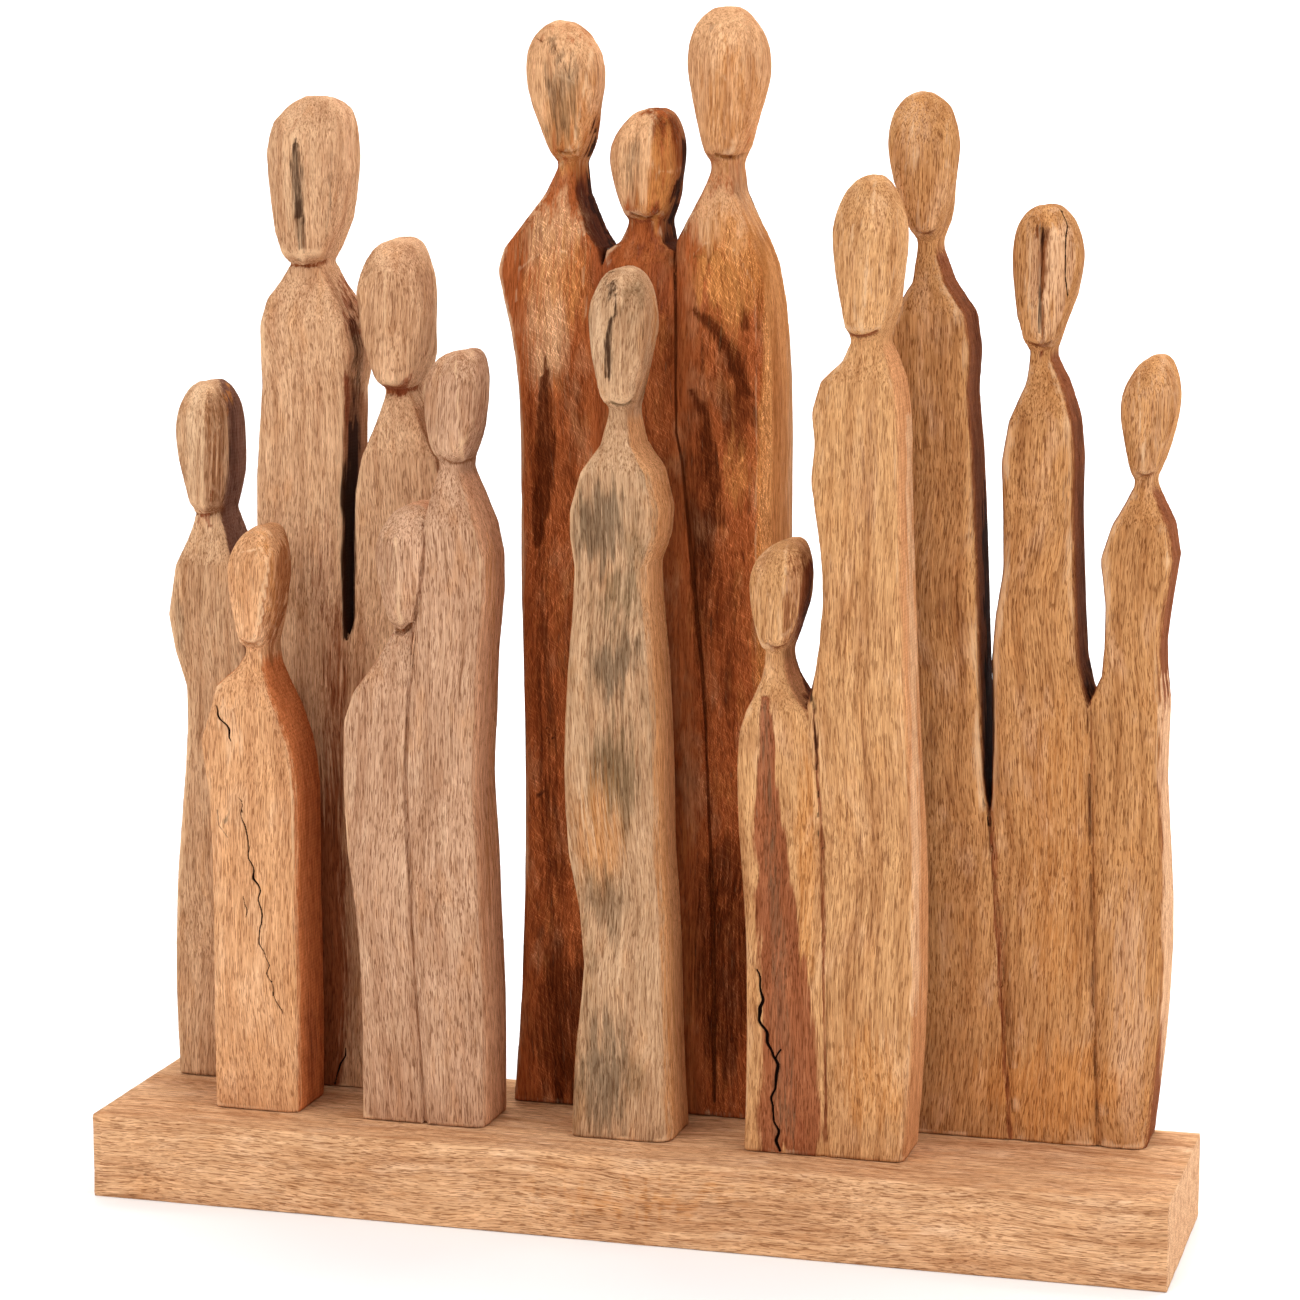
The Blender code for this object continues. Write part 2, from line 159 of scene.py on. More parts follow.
# How strongly the carved forms show in the layers: painted shade in crevices and under
# chins, painted highlight on head ridges, and less of the pale arrises on the board and sawn sides
CREVICE_SHADE = 0.7
CHIN_SHADE = 0.85
RIDGE_HIGHLIGHT = 0.55
SCOOP_RIDGE_HIGHLIGHT = 0.35
BOARD_PALE = 0.3
SAWN_PALE = 0.5


def linear(code):
    """Linear colour, with an alpha of 1, of an sRGB hex value."""
    shares = [int(code[i:i + 2], 16) / 255 for i in (0, 2, 4)]
    shares = [c / 12.92 if c <= 0.04045 else ((c + 0.055) / 1.055) ** 2.4 for c in shares]
    return (*shares, 1.0)


def smooth_step(low, high, values):
    """From 0 at low to 1 at high, without a bend."""
    share = np.clip((values - low) / (high - low), 0.0, 1.0)
    return share * share * (3 - 2 * share)


class Mark:
    """A mark in a layer: how strong it is and how soft its edge, its depth in mm where it is
    cut in, and the faces that it is on."""

    fine = False

    def __init__(self, layer, strength=1.0, soft=0.6, depth=0.0, on="front"):
        self.layer = layer
        self.strength = strength
        self.soft = soft
        self.depth = depth * MM
        self.on = on

    def cover(self, place):
        """How far the mark covers each point, from 0 to 1."""
        return smooth_step(1.0, 1.0 - self.soft, self.reach(place)) * place.on[self.on]


class Patch(Mark):
    """A soft oval mark: its middle and half size in pixels, turned by so many degrees."""

    def __init__(self, layer, middle, half_size, strength=1.0, soft=0.6, turn=0.0, **cut):
        super().__init__(layer, strength, soft, **cut)
        self.middle = middle
        self.half_size = half_size
        self.turn = radians(turn)

    def reach(self, place):
        """Distance from the middle, in half sizes."""
        u = place.ragged_u - self.middle[0]
        v = place.ragged_v - self.middle[1]
        across = (u * cos(self.turn) + v * sin(self.turn)) / self.half_size[0]
        along = (v * cos(self.turn) - u * sin(self.turn)) / self.half_size[1]
        return np.sqrt(across ** 2 + along ** 2)


class Head(Mark):
    """Where a head is: it is cut deeper with the knife, all round, and has no sawn sides. It
    may have a ridge down its face, given by a pixel at its top and one at its foot, its height
    in mm, how many pixels wide its two facets are and how dark its right facet is painted, as
    painted shade, with a painted highlight along the ridge. The chin is the pixel under which a
    crease is cut and painted with shadow, with the crease's half width."""

    def __init__(self, middle, half_size, chin, ridge=None, ridge_height=0.0, facets=0,
                 shade=0.0):
        super().__init__("facet", on="all")
        self.middle = middle
        self.half_size = half_size
        self.chin = chin
        self.ridge = ridge
        self.ridge_height = ridge_height * MM
        self.facets = facets
        self.shade = shade

    def cover(self, place):
        u = (place.u - self.middle[0]) / self.half_size[0]
        v = (place.v - self.middle[1]) / self.half_size[1]
        return smooth_step(*HEAD_EDGE, np.sqrt(u * u + v * v))

    def crease(self, place):
        """The cut under the chin, from 0 to 1, that is also painted with shadow."""
        u = (place.u - self.chin[0]) / self.chin[2]
        dip = place.v - (self.chin[1] - CHIN_BOW * u * u)
        across = smooth_step(*CHIN_EDGE, np.abs(dip))
        return across * smooth_step(*CHIN_ENDS, np.abs(u)) * place.on["any"]

    def tent(self, place):
        """The ridge's share of its height, its top's painted highlight and its right facet's painted
        shade.
        """
        if self.ridge is None:
            return [np.zeros(len(place.u))] * 3
        (top_u, top_v), (foot_u, foot_v) = self.ridge
        share = (place.v - top_v) / (foot_v - top_v)
        aside = place.u - top_u - (foot_u - top_u) * share
        away = np.abs(aside)
        along = smooth_step(*RIDGE_TOP, share) * smooth_step(*RIDGE_FOOT, share)
        along *= place.on["any"]
        rise = np.maximum(1 - away / self.facets, 0.0)
        line = smooth_step(*RIDGE_EDGE, away)
        right = smooth_step(*FACET_START, aside)
        right *= smooth_step(self.facets + FACET_SOFT, self.facets, aside)
        return rise * along, line * along, right * along * self.shade


class Line(Mark):
    """A mark along points in pixels, of a half width in pixels that may change along it.
    Where it is narrow and cut in, the mesh is made finer. Wander is how ragged it is."""

    def __init__(self, layer, width, strength, *points, wander=1.0, **cut):
        super().__init__(layer, strength, **cut)
        self.points = points
        self.widths = width if isinstance(width, tuple) else (width, width)
        self.wander = wander
        self.fine = self.depth != 0.0 and max(self.widths) < FINE_LINE

    def reach(self, place):
        """Distance from the line, in its own half widths."""
        best = np.full(len(place.u), np.inf)
        if max(self.widths) > FINE_LINE:
            at_u = place.u + (place.ragged_u - place.u) * self.wander
            at_v = place.v + (place.ragged_v - place.v) * self.wander
        else:
            at_u, at_v = place.shaky_u if self.layer == "crack" else place.u, place.v
        parts = list(zip(self.points, self.points[1:]))
        lengths = [np.hypot(b[0] - a[0], b[1] - a[1]) for a, b in parts]
        whole, gone = sum(lengths), 0.0
        for (a, b), length in zip(parts, lengths):
            share = ((at_u - a[0]) * (b[0] - a[0]) + (at_v - a[1]) * (b[1] - a[1]))
            share = np.clip(share / length ** 2, 0, 1)
            away = np.hypot(at_u - a[0] - share * (b[0] - a[0]),
                            at_v - a[1] - share * (b[1] - a[1]))
            along = (gone + share * length) / whole
            width = np.interp(along, np.linspace(0, 1, len(self.widths)), self.widths)
            best = np.minimum(best, away / width)
            gone += length
        return best


@dataclass
class Wood:
    """Finish of one plank: colours of its face, of its lighter and darker parts, which are also
    laid as painted light and painted shade, and of its sides, the cell of its mesh in mm, its marks,
    and how strong its pores, its streaks, its darker mottling and the saw marks on its sides are.
    Its grain runs along an axis."""

    slot: str
    face: str
    light: str
    dark: str
    side: str
    cell: float
    marks: list
    pores: float = 0.65
    streaks: float = 0.8
    mottle: float = 0.3
    saw: float = 0.3
    grain: str = "z"

    def along_grain(self, across, length):
        """A size across the grain and one along it, in the order of the axes."""
        return (length, across, across) if self.grain == "x" else (across, across, length)


# The pieces' woods. Each mark is placed where the photograph shows it, in its pixels: a head
# or patch by its middle and half size, a line by its half widths and its points
WOODS = {}

WOODS["back_left_single"] = Wood("tan_wood", "CCA27C", "E2BC96", "8A5836", "7A5244", 1.3, [
    # Painted shade on the right facet of the head and painted light on its left facet
    Head((205, 446), (25, 84), (205, 515, 15), ((204, 388), (204, 512)), 2.6, 18, 0.6),
    Patch("light", (193, 445), (15, 70), 0.55, 0.4),
    Patch("light", (205, 388), (26, 12), 0.5),
    Patch("rust", (207, 506), (12, 9), 0.7),
    Line("char_and_shade", (8, 7, 6, 5), 0.35, (233, 400), (233, 490), (242, 515), (252, 532), on="right"),
    Patch("gold", (228, 402), (5, 18), 0.8, on="right"),
    Patch("pale", (232, 498), (4, 8), 0.6, on="right"),
    Line("grey", 6, 0.35, (180, 600), (182, 700)),
    Patch("light", (205, 640), (22, 60), 0.4),
])

WOODS["back_left_pair"] = Wood("tan_wood", "CFA27C", "E6BC94", "8C4A28", "A06C4A", 1.45, [
    Head((312, 180), (77, 109), (304, 266, 24), ((291, 118), (303, 262)), 2.2, 30, 0.06),
    Head((400, 312), (70, 100), (398, 392, 22), ((384, 252), (388, 380)), 1.2, 34, 0.05),
    Patch("light", (300, 180), (32, 80), 0.5),
    Line("pale", 1.4, 0.6, (285, 115), (292, 121), (294, 128), (300, 190), (303, 264)),
    Line("pale", 1.4, 0.6, (300, 115), (293, 122)),
    Line("char_and_shade", (4, 8, 7, 6), 0.72, (297, 146), (298, 172), (299, 198), (300, 226), soft=0.5,
         wander=0.5),
    Line("char_and_shade", (4, 7, 7, 5), 0.55, (299, 212), (301, 230), (301, 250), soft=0.5, wander=0.4),
    Line("grey", (2, 4, 3), 0.45, (330, 150), (331, 200), (326, 250)),
    Line("rust", (5, 9, 9), 0.7, (343, 270), (350, 300), (356, 330), on="inner"),
    Line("rust", (3, 5, 3), 0.7, (345, 355), (348, 395), (347, 428), on="any"),
    # Near-black on the inner faces of the slot between the two figures: painted shade of the narrow slot,
    # together with charring
    Line("char_and_shade", (4, 7, 9), 0.5, (352, 300), (357, 350), (355, 430), on="inner"),
    Line("char_and_shade", (7, 11, 11, 10), 1.0, (354, 430), (352, 480), (350, 520), (347, 640), on="inner"),
    # Painted shadow under the chin of the right figure, rust red and dark in the cut
    Line("rust", (4, 8, 6), 0.95, (382, 388), (402, 390), (417, 374), wander=0.1),
    Line("dark", (2, 4, 3), 0.7, (384, 393), (402, 395), (417, 382), depth=0.4),
    Line("crack", (0.6, 1.2, 0.6), 1.0, (345, 1048), (341, 1068), (337, 1084), depth=0.6),
    Patch("rust", (322, 560), (20, 90), 0.4),
    Patch("dark", (335, 720), (18, 190), 0.55),
    Patch("dark", (325, 980), (30, 260)),
    Patch("dark", (362, 700), (10, 60), 0.4),
])

WOODS["back_centre_trio"] = Wood("red_wood", "A0562E", "D6A478", "5C2A12", "5A2C1A", 1.5, [
    Head((565, 88), (65, 96), (567, 154, 13), ((592, 44), (572, 152)), 1.8, 20, 0.25),
    Head((647, 165), (63, 78), (646, 217, 17), ((652, 112), (645, 214)), 2.0, 26, 0.45),
    Head((728, 82), (70, 105), (730, 159, 16)),
    Patch("light", (565, 80), (70, 100), 0.9, on="all"),
    Patch("gold", (575, 130), (50, 60), 0.6, on="any"),
    Patch("grey", (562, 95), (28, 66), 0.55, 0.5, depth=0.8),
    Line("dark", 0.7, 0.6, (553, 44), (560, 60), (573, 84), depth=0.3),
    Line("dark", 0.7, 0.7, (536, 38), (543, 42), depth=0.3),
    # Near-black down the right side of the left figure, from its neck to the notch: painted shadow
    Line("char_and_shade", (2, 7, 9, 7), 0.8, (598, 130), (588, 165), (594, 205), (616, 250), on="inner"),
    Patch("light", (728, 70), (80, 130), on="all"),
    Patch("gold", (735, 110), (60, 90), 0.5, on="any"),
    Line("dark", (6, 4), 0.35, (712, 32), (716, 66)),
    Patch("light", (630, 150), (36, 84), 0.95, on="any"),
    Patch("grey", (632, 162), (24, 62), 0.5, 1.0),
    Patch("gold", (664, 170), (24, 60), 0.6, on="any"),
    Patch("gold", (655, 205), (30, 26), 0.6),
    Line("char_and_shade", (3, 6, 7, 6), 0.75, (688, 130), (684, 170), (676, 205), (668, 238), on="inner"),
    Patch("rust", (648, 236), (26, 14), 0.7),
    Patch("light", (552, 232), (56, 66), 0.6, 0.8, on="any"),
    Patch("gold", (560, 275), (62, 80), 0.5, 0.8),
    Patch("light", (548, 335), (36, 110), 0.7, 0.8),
    Patch("rust", (600, 270), (22, 60), 0.5),
    Patch("light", (735, 215), (80, 64), 0.85, 0.8, on="any"),
    Patch("gold", (740, 265), (72, 100), 0.7, 0.8, on="any"),
    Line("knife", 50, 0.9, (560, 250), (560, 700), (565, 1080)),
    Line("knife", 54, 0.9, (735, 280), (735, 700), (735, 1080)),
    Patch("knife", (648, 400), (40, 220), 0.7),
    Line("dark", (8, 14, 11), 0.85, (545, 370), (545, 430), (540, 520)),
    Line("pale", (1.6, 2.4, 2.0, 1.4), 0.45, (516, 300), (520, 268), (540, 253), (566, 252), (582, 268),
         (588, 330)),
    Line("pale", (1.4, 2.4, 2.0, 1.6), 0.4, (684, 262), (705, 243), (736, 250), (754, 285), (757, 419),
         (756, 900)),
    Patch("light", (590, 540), (26, 120), 0.35),
    Line("dark", (4, 8, 10, 8), 0.75, (694, 262), (716, 257), (734, 276), (746, 330), soft=0.9,
         wander=0.2),
    Line("dark", (5, 14, 18, 12), 0.95, (694, 310), (714, 328), (732, 352), (744, 392), soft=0.9,
         wander=0.2),
    Line("char_and_shade", (2, 6, 6), 0.4, (702, 320), (722, 340), (738, 374), soft=1.0, wander=0.2),
    Line("dark", (4, 12, 14), 0.8, (690, 388), (708, 418), (718, 520), soft=0.9, wander=0.3),
    Patch("gold", (712, 285), (26, 20), 0.6, turn=30),
    Patch("dark", (700, 500), (18, 200), 0.5),
    Patch("dark", (716, 620), (44, 100), 0.35, 0.8),
    Line("dark", (6, 14, 16, 12), 0.45, (540, 520), (545, 700), (556, 900), (560, 1100)),
    Patch("gold", (735, 470), (20, 60), 0.5),
    Patch("dark", (590, 1030), (90, 120), 0.7),
    Patch("dark", (725, 960), (50, 180), 0.7),
    Line("gold", (14, 24, 26, 20), 0.9, (776, 230), (776, 330), (772, 480), (772, 900), on="all"),
    Line("light", (16, 26, 24, 12), 1.0, (780, 240), (780, 400), (778, 560), (780, 760), on="all"),
    Line("dark", (2.0, 2.4, 2.4), 1.0, (675, 245), (676, 433), (682, 461), (690, 543), (698, 626),
         (705, 709), (713, 921), (714, 1101), depth=0.9, soft=0.9),
    Patch("rust", (660, 290), (24, 50), 0.5),
    Line("crack", 0.8, 0.7, (545, 728), (556, 742)),
    Patch("char_and_shade", (540, 782), (12, 5), 0.7),
], pores=0.45, streaks=0.9, mottle=0.8, saw=0.0)

WOODS["back_right_trio"] = Wood("golden_wood", "BF8A59", "E2B48C", "87502E", "8A4E30", 1.55, [
    Head((926, 160), (67, 96), (926, 235, 11), ((912, 110), (920, 230)), 1.2, 26, 0.2),
    Head((1052, 266), (67, 89), (1040, 346, 12), ((1041, 206), (1040, 342)), 2.2, 28),
    Head((1154, 410), (58, 82), (1146, 478, 10), ((1138, 372), (1144, 470)), 0.8, 24),
    Patch("light", (915, 130), (28, 60), 0.4),
    Patch("light", (1054, 270), (40, 78), 0.7),
    Patch("light", (1152, 410), (38, 66), 0.35),
    Line("char_and_shade", (4, 6, 6), 0.4, (952, 250), (975, 310), (984, 400), on="right"),
    Line("char_and_shade", (3, 6, 8, 5), 0.9, (985, 480), (989, 600), (990, 700), (988, 815), on="inner"),
    Line("rust", (6, 5), 0.6, (992, 820), (1010, 1138)),
    Line("dark", (2.4, 1.8, 1.6), 0.8, (989, 815), (1000, 980), (1010, 1138), depth=0.7, soft=0.9),
    Patch("char_and_shade", (1043, 227), (9, 19), 0.55, 1.0),
    Patch("dark", (1044, 228), (15, 26), 0.7, 1.0),
    Line("dark", (4.5, 3, 4.5), 0.9, (1043, 235), (1042, 290), (1040, 335)),
    Line("char_and_shade", (2.4, 1.2, 1.4, 2.4), 0.5, (1043, 230), (1042, 265), (1041, 300), (1040, 332),
         depth=0.2),
    Patch("rust", (1041, 336), (9, 13), 0.8),
    Line("pale", (2, 4, 3), 0.5, (1032, 230), (1030, 290), (1033, 330)),
    Line("crack", 0.8, 1.0, (1057, 206), (1065, 221), (1067, 277), (1068, 300), depth=0.5),
    Line("char_and_shade", (3, 6, 4, 5, 7), 0.42, (1074, 380), (1080, 440), (1083, 560), (1086, 640), (1092, 690),
         on="inner"),
    Patch("char_and_shade", (1090, 684), (7, 12), 0.6, on="inner"),
    Line("light", 10, 1.0, (1166, 700), (1170, 900), (1168, 1120), on="all"),
    Patch("light", (1130, 1000), (30, 200), 0.5),
    Line("dark", (2, 1.5), 0.7, (1090, 700), (1097, 1146), depth=0.6, soft=0.9),
    Patch("dark", (938, 620), (34, 300), 0.3, 0.25),
    Patch("dark", (1032, 610), (34, 190), 0.2, 0.25),
    Patch("gold", (1050, 1090), (120, 70), 0.6),
    Patch("gold", (1060, 850), (60, 240), 0.4),
    Patch("pale", (1167, 643), (2, 4), 0.8),
], pores=0.8, streaks=0.9, saw=0.15)

WOODS["front_left_single"] = Wood("pink_wood", "D6A073", "E8BA92", "A4673F", "CC7846", 1.2, [
    Head((258, 580), (65, 82), (251, 644, 12), ((270, 548), (254, 640)), 2.0, 16, 0.5),
    Patch("gold", (262, 536), (26, 16), 0.5),
    Line("pale", 1.2, 0.8, (241, 552), (262, 548), (268, 570), (262, 615), (252, 640)),
    Line("dark", (9, 10, 7), 0.8, (287, 545), (286, 600), (272, 640), on="right"),
    Line("gold", 5, 0.5, (274, 560), (269, 620), on="any"),
    # Painted reddish shadow under the chin
    Patch("rust", (256, 648), (14, 6), 0.6),
    Line("crack", (0.5, 1.6, 1.8, 0.5), 0.75, (215, 705), (222, 718), (228, 731), (233, 743),
         depth=0.7),
    Line("crack", (0.5, 0.9, 1.1, 0.7, 0.4), 0.85, (239, 798), (247, 840), (257, 888), (262, 916),
         (261, 950), (272, 985), (284, 1015), depth=0.9),
    Line("crack", 0.6, 0.7, (242, 896), (245, 917), depth=0.4),
    Line("grey", 0.8, 0.8, (217, 810), (219, 826), (228, 838), depth=0.3),
    Line("rust", (1, 3, 3, 1), 0.3, (266, 560), (264, 600), (262, 640), (268, 700)),
    Patch("grey", (227, 825), (5, 10), 0.7),
    Line("pale", 1.8, 0.6, (260, 654), (276, 709), (290, 759), (294, 866), (299, 1004)),
    Line("pale", 2.0, 0.4, (209, 700), (210, 800), (213, 900)),
    Patch("light", (232, 730), (20, 40), 0.5),
    Patch("rust", (310, 1040), (9, 70), 0.5, on="any"),
], streaks=0.65)

WOODS["front_left_pair"] = Wood("pale_wood", "C3997A", "D9B392", "946343", "D8A27C", 1.35, [
    Head((394, 568), (36, 72), (401, 631, 12), ((396, 530), (401, 622)), 1.4, 20, 0.2),
    Head((458, 402), (65, 75), (457, 463, 15), ((456, 352), (460, 460)), 2.2, 26, 0.4),
    # Painted shade in the groove cut round the head of the small figure
    Line("dark", (0.8, 3.0, 3.6, 3.0), 0.45, (423, 524), (424, 545), (420, 589), (414, 622), (402, 634),
         (388, 630), depth=1.6, soft=1.0),
    # Painted reddish shadow under the small figure's chin
    Line("rust", (3, 5, 3), 0.5, (388, 640), (402, 640), (414, 630)),
    # Painted shade in the groove between the two figures
    Line("dark", (2.4, 3.0, 3.0), 0.55, (414, 634), (408, 700), (405, 778), (412, 930), (425, 1124),
         depth=1.2, soft=0.9),
    Patch("grey", (396, 560), (22, 50), 0.25),
    Line("crack", (1.0, 1.6, 1.0), 1.0, (469, 446), (474, 470), (480, 502), depth=0.8),
    Line("pale", 2.0, 0.35, (480, 520), (482, 700), (478, 900)),
    Patch("light", (455, 700), (26, 160), 0.2),
    Line("gold", (6, 8, 8), 0.4, (490, 540), (494, 700), (490, 900), on="any"),
], pores=0.75, saw=0.0)

WOODS["front_centre_single"] = Wood("grey_wood", "BE9672", "DAB692", "7C6246", "DAA270", 1.35, [
    Head((624, 330), (65, 91), (619, 404, 11), ((622, 270), (620, 400)), 2.4, 28),
    Patch("char_and_shade", (612, 288), (11, 17), 0.62, 0.8),
    Line("char_and_shade", (3, 1.5), 0.7, (616, 296), (617, 318)),
    Line("char_and_shade", (3, 6, 4), 0.72, (611, 322), (608, 345), (609, 376), wander=0.4),
    Patch("light", (598, 335), (12, 60), 0.6),
    Patch("grey", (636, 335), (16, 64), 0.15),
    Line("gold", 6, 0.4, (657, 300), (654, 360), (640, 396), on="any"),
    Patch("grey", (600, 520), (40, 64), 0.8, 0.7),
    Patch("char_and_shade", (592, 525), (14, 30), 0.22, 1.0),
    Patch("grey", (615, 665), (44, 64), 0.8, 0.8, turn=25),
    Patch("char_and_shade", (604, 664), (18, 26), 0.2, 1.0, turn=30),
    Patch("grey", (604, 1080), (46, 100), 0.75, 0.8),
    Patch("char_and_shade", (598, 1085), (18, 50), 0.18, 1.0),
    Patch("gold", (600, 850), (46, 130), 0.6, 0.9),
    Patch("dark", (612, 775), (46, 80), 0.75, 0.8),
    Patch("dark", (616, 600), (46, 44), 0.6, 0.8),
    Patch("grey", (604, 900), (42, 70), 0.65, 0.8),
    Line("gold", (8, 10, 10, 10), 0.4, (664, 470), (660, 600), (660, 800), (672, 1120), on="any"),
], streaks=0.7, mottle=0.6, saw=0.0)

WOODS["front_right_pair"] = Wood("golden_wood", "CD9A69", "E4B68C", "8A4E30", "D89C6C", 1.4, [
    Head((784, 592), (63, 71), (777, 648, 11), ((786, 548), (779, 642)), 2.4, 20, 0.5),
    Head((874, 252), (72, 98), (862, 336, 17), ((876, 172), (862, 332)), 1.8, 28, 0.1),
    Line("dark", (6, 9, 9, 8), 0.9, (812, 560), (804, 620), (801, 660), (814, 704), on="inner",
         wander=0.4),
    Line("char_and_shade", (3, 6, 8, 7), 0.5, (812, 575), (805, 630), (801, 660), (815, 706), on="inner",
         wander=0.3),
    Line("rust", (7, 18, 24, 34, 40), 0.95, (764, 712), (768, 800), (774, 900), (786, 1000),
         (790, 1140), soft=0.4),
    Line("grey", (6, 12, 14, 18), 0.4, (763, 716), (768, 800), (778, 930), (785, 1140)),
    Patch("gold", (806, 860), (16, 180), 0.6),
    Line("dark", (4, 8, 8), 0.5, (776, 960), (782, 1060), (800, 1140)),
    Line("crack", (1.0, 1.8, 2.2, 1.6, 2.0), 1.0, (758, 971), (762, 1021), (775, 1060), (772, 1110),
         (778, 1151), depth=1.4),
    Line("crack", 1.2, 1.0, (775, 1060), (782, 1050), depth=0.8),
    Line("dark", (3.6, 3.4, 3.0), 0.85, (814, 709), (822, 850), (826, 1140), soft=0.9),
    Line("char_and_shade", (2, 3, 2), 0.7, (811, 690), (815, 718), (817, 770)),
    Line("crack", 0.6, 0.6, (819, 790), (822, 850)),
    Patch("light", (868, 250), (34, 80), 0.15),
    Patch("light", (866, 470), (30, 120), 0.3),
    Patch("dark", (862, 760), (36, 360), 0.22, 0.3),
    Line("pale", 1.2, 0.5, (862, 178), (853, 230), (856, 320)),
    Line("pale", (0.8, 1.2, 0.8), 0.45, (822, 470), (826, 400), (838, 365), (856, 352), (884, 362),
         (896, 400)),
    Line("dark", 1.4, 0.4, (850, 210), (846, 280)),
    # Painted shadow under the chin of the tall figure
    Patch("dark", (860, 340), (8, 5), 0.7),
    Line("light", (4, 6, 6), 0.9, (908, 420), (914, 700), (916, 1000), on="any"),
    Patch("gold", (870, 1080), (50, 80), 0.5),
], saw=0.25)

WOODS["base_board"] = Wood("board_wood", "DBAB80", "E8C19E", "AE7448", "E3B68E", 2.1, [
    Patch("dark", (143, 1148), (9, 4), 0.5, on="any"),
    Patch("dark", (330, 1205), (150, 16), 0.35, 0.8),
    Patch("gold", (640, 1200), (220, 24), 0.5, 0.8),
    Patch("dark", (850, 1225), (120, 14), 0.3, 0.8),
    Patch("rust", (600, 1135), (300, 14), 0.25, 0.8, on="any"),
    Patch("grey", (149, 1186), (6, 5), 0.5),
    Line("pale", (0.8, 1.5, 0.8), 0.6, (912, 1184), (940, 1184)),
    Patch("grey", (120, 1175), (30, 20), 0.2),
    Patch("pale", (1186, 1140), (10, 5), 0.5, on="any", depth=0.6),
], grain="x", pores=0.7, mottle=0.4)


def corner_keys(corners, seed):
    """A random whole number for each lattice corner."""
    key = corners[:, 0] * 73856093 ^ corners[:, 1] * 19349663 ^ corners[:, 2] * 83492791
    key ^= seed * 2654435761
    return (key ^ key >> 13) * 1274126177 & 0x7FFFFFFF


def lattice_spots(points, cell):
    """Points in cells of a lattice, and the corner below each."""
    spots = points / np.asarray(cell) + 1000.0
    return spots, np.floor(spots).astype(np.int64)


def lattice_noise(points, cell, seed):
    """Smooth noise from 0 to 1 with one random value per lattice corner of the cell."""
    spots, whole = lattice_spots(points, cell)
    part = spots - whole
    part = part * part * (3 - 2 * part)
    total = np.zeros(len(points))
    for corner in range(8):
        step = np.array([corner & 1, corner >> 1 & 1, corner >> 2 & 1])
        key = corner_keys(whole + step, seed)
        value = ((key ^ key >> 16) & 0xFFFF) / 65535.0
        weight = np.where(step, part, 1 - part).prod(axis=1)
        total += value * weight
    return total


def knife_cuts(points, cell, seed):
    """Scoops side by side, one for each random spot: how high each point lies in its scoop,
    from 0 at its middle, how near it is to a ridge between two scoops, and the scoop's own
    random value."""
    spots, whole = lattice_spots(points, cell)
    nearest = np.full(len(points), 1e9)
    second = np.full(len(points), 1e9)
    tone = np.zeros(len(points))
    for number in range(27):
        at = whole + np.array([number % 3 - 1, number // 3 % 3 - 1, number // 9 - 1])
        key = corner_keys(at, seed)
        jitter = np.stack([key & 0xFF, key >> 8 & 0xFF, key >> 16 & 0xFF], axis=1) / 255.0
        away = ((at + 0.15 + 0.7 * jitter - spots) ** 2).sum(axis=1)
        closer = away < nearest
        second = np.where(closer, nearest, np.minimum(second, away))
        nearest = np.where(closer, away, nearest)
        tone = np.where(closer, (key >> 4 & 0xFF) / 255.0, tone)
    ridge = smooth_step(0.10, 0.0, np.sqrt(second) - np.sqrt(nearest))
    return nearest, ridge, tone


def camera_axes():
    """The camera's place, and its right, up and back directions."""
    flat = cos(CAMERA_ELEVATION)
    back = np.array([sin(CAMERA_AZIMUTH) * flat, -cos(CAMERA_AZIMUTH) * flat,
                     sin(CAMERA_ELEVATION)])
    right = np.array([cos(CAMERA_AZIMUTH), sin(CAMERA_AZIMUTH), 0.0])
    place = np.array(CAMERA_TARGET) + back * CAMERA_DISTANCE
    return place, right, np.cross(back, right), back


class Place:
    """Where the points of a mesh lie in the photograph, and which way they face."""

    def __init__(self, points, normals):
        eye, right, up, back = camera_axes()
        ray = points - eye
        depth = -(ray @ back)
        pixels = CAMERA_LENS / CAMERA_SENSOR * PHOTO_SIDE
        self.u = PHOTO_SIDE / 2 + pixels * (ray @ right) / depth
        self.v = PHOTO_SIDE / 2 - pixels * (ray @ up) / depth

        def wander(cell, seed, width):
            return (lattice_noise(points, cell, seed) - 0.5) * width

        self.ragged_u = self.u + wander(RAGGED_CELL, RAGGED_SEEDS[0], RAGGED_WIDTH)
        self.ragged_v = self.v + wander(RAGGED_CELL, RAGGED_SEEDS[1], RAGGED_HEIGHT)
        self.shaky_u = self.u + wander(SHAKY_CELL, SHAKY_SEED, SHAKY_WIDTH)
        facing = -(normals * (ray / np.linalg.norm(ray, axis=1)[:, None])).sum(axis=1)
        seen = smooth_step(-0.05, 0.15, facing)
        front = smooth_step(0.25, 0.55, -normals[:, 1])
        right_side = smooth_step(0.45, 0.75, normals[:, 0])
        inner = np.maximum(right_side, smooth_step(0.45, 0.75, -normals[:, 0]))
        self.on = {"front": front * seen, "right": right_side, "any": seen, "inner": inner,
                   "all": np.ones(len(points))}


def read_values(items, name, width=1, kind=float):
    """One value or vector of each point, edge or face of a mesh, as an array."""
    values = np.empty(len(items) * width, dtype=kind)
    items.foreach_get(name, values)
    return values.reshape(-1, width) if width > 1 else values


def read_mesh(mesh):
    """Points, normals and edges of a mesh as arrays."""
    return (read_values(mesh.vertices, "co", 3), read_values(mesh.vertex_normals, "vector", 3),
            read_values(mesh.edges, "vertices", 2, np.int64))


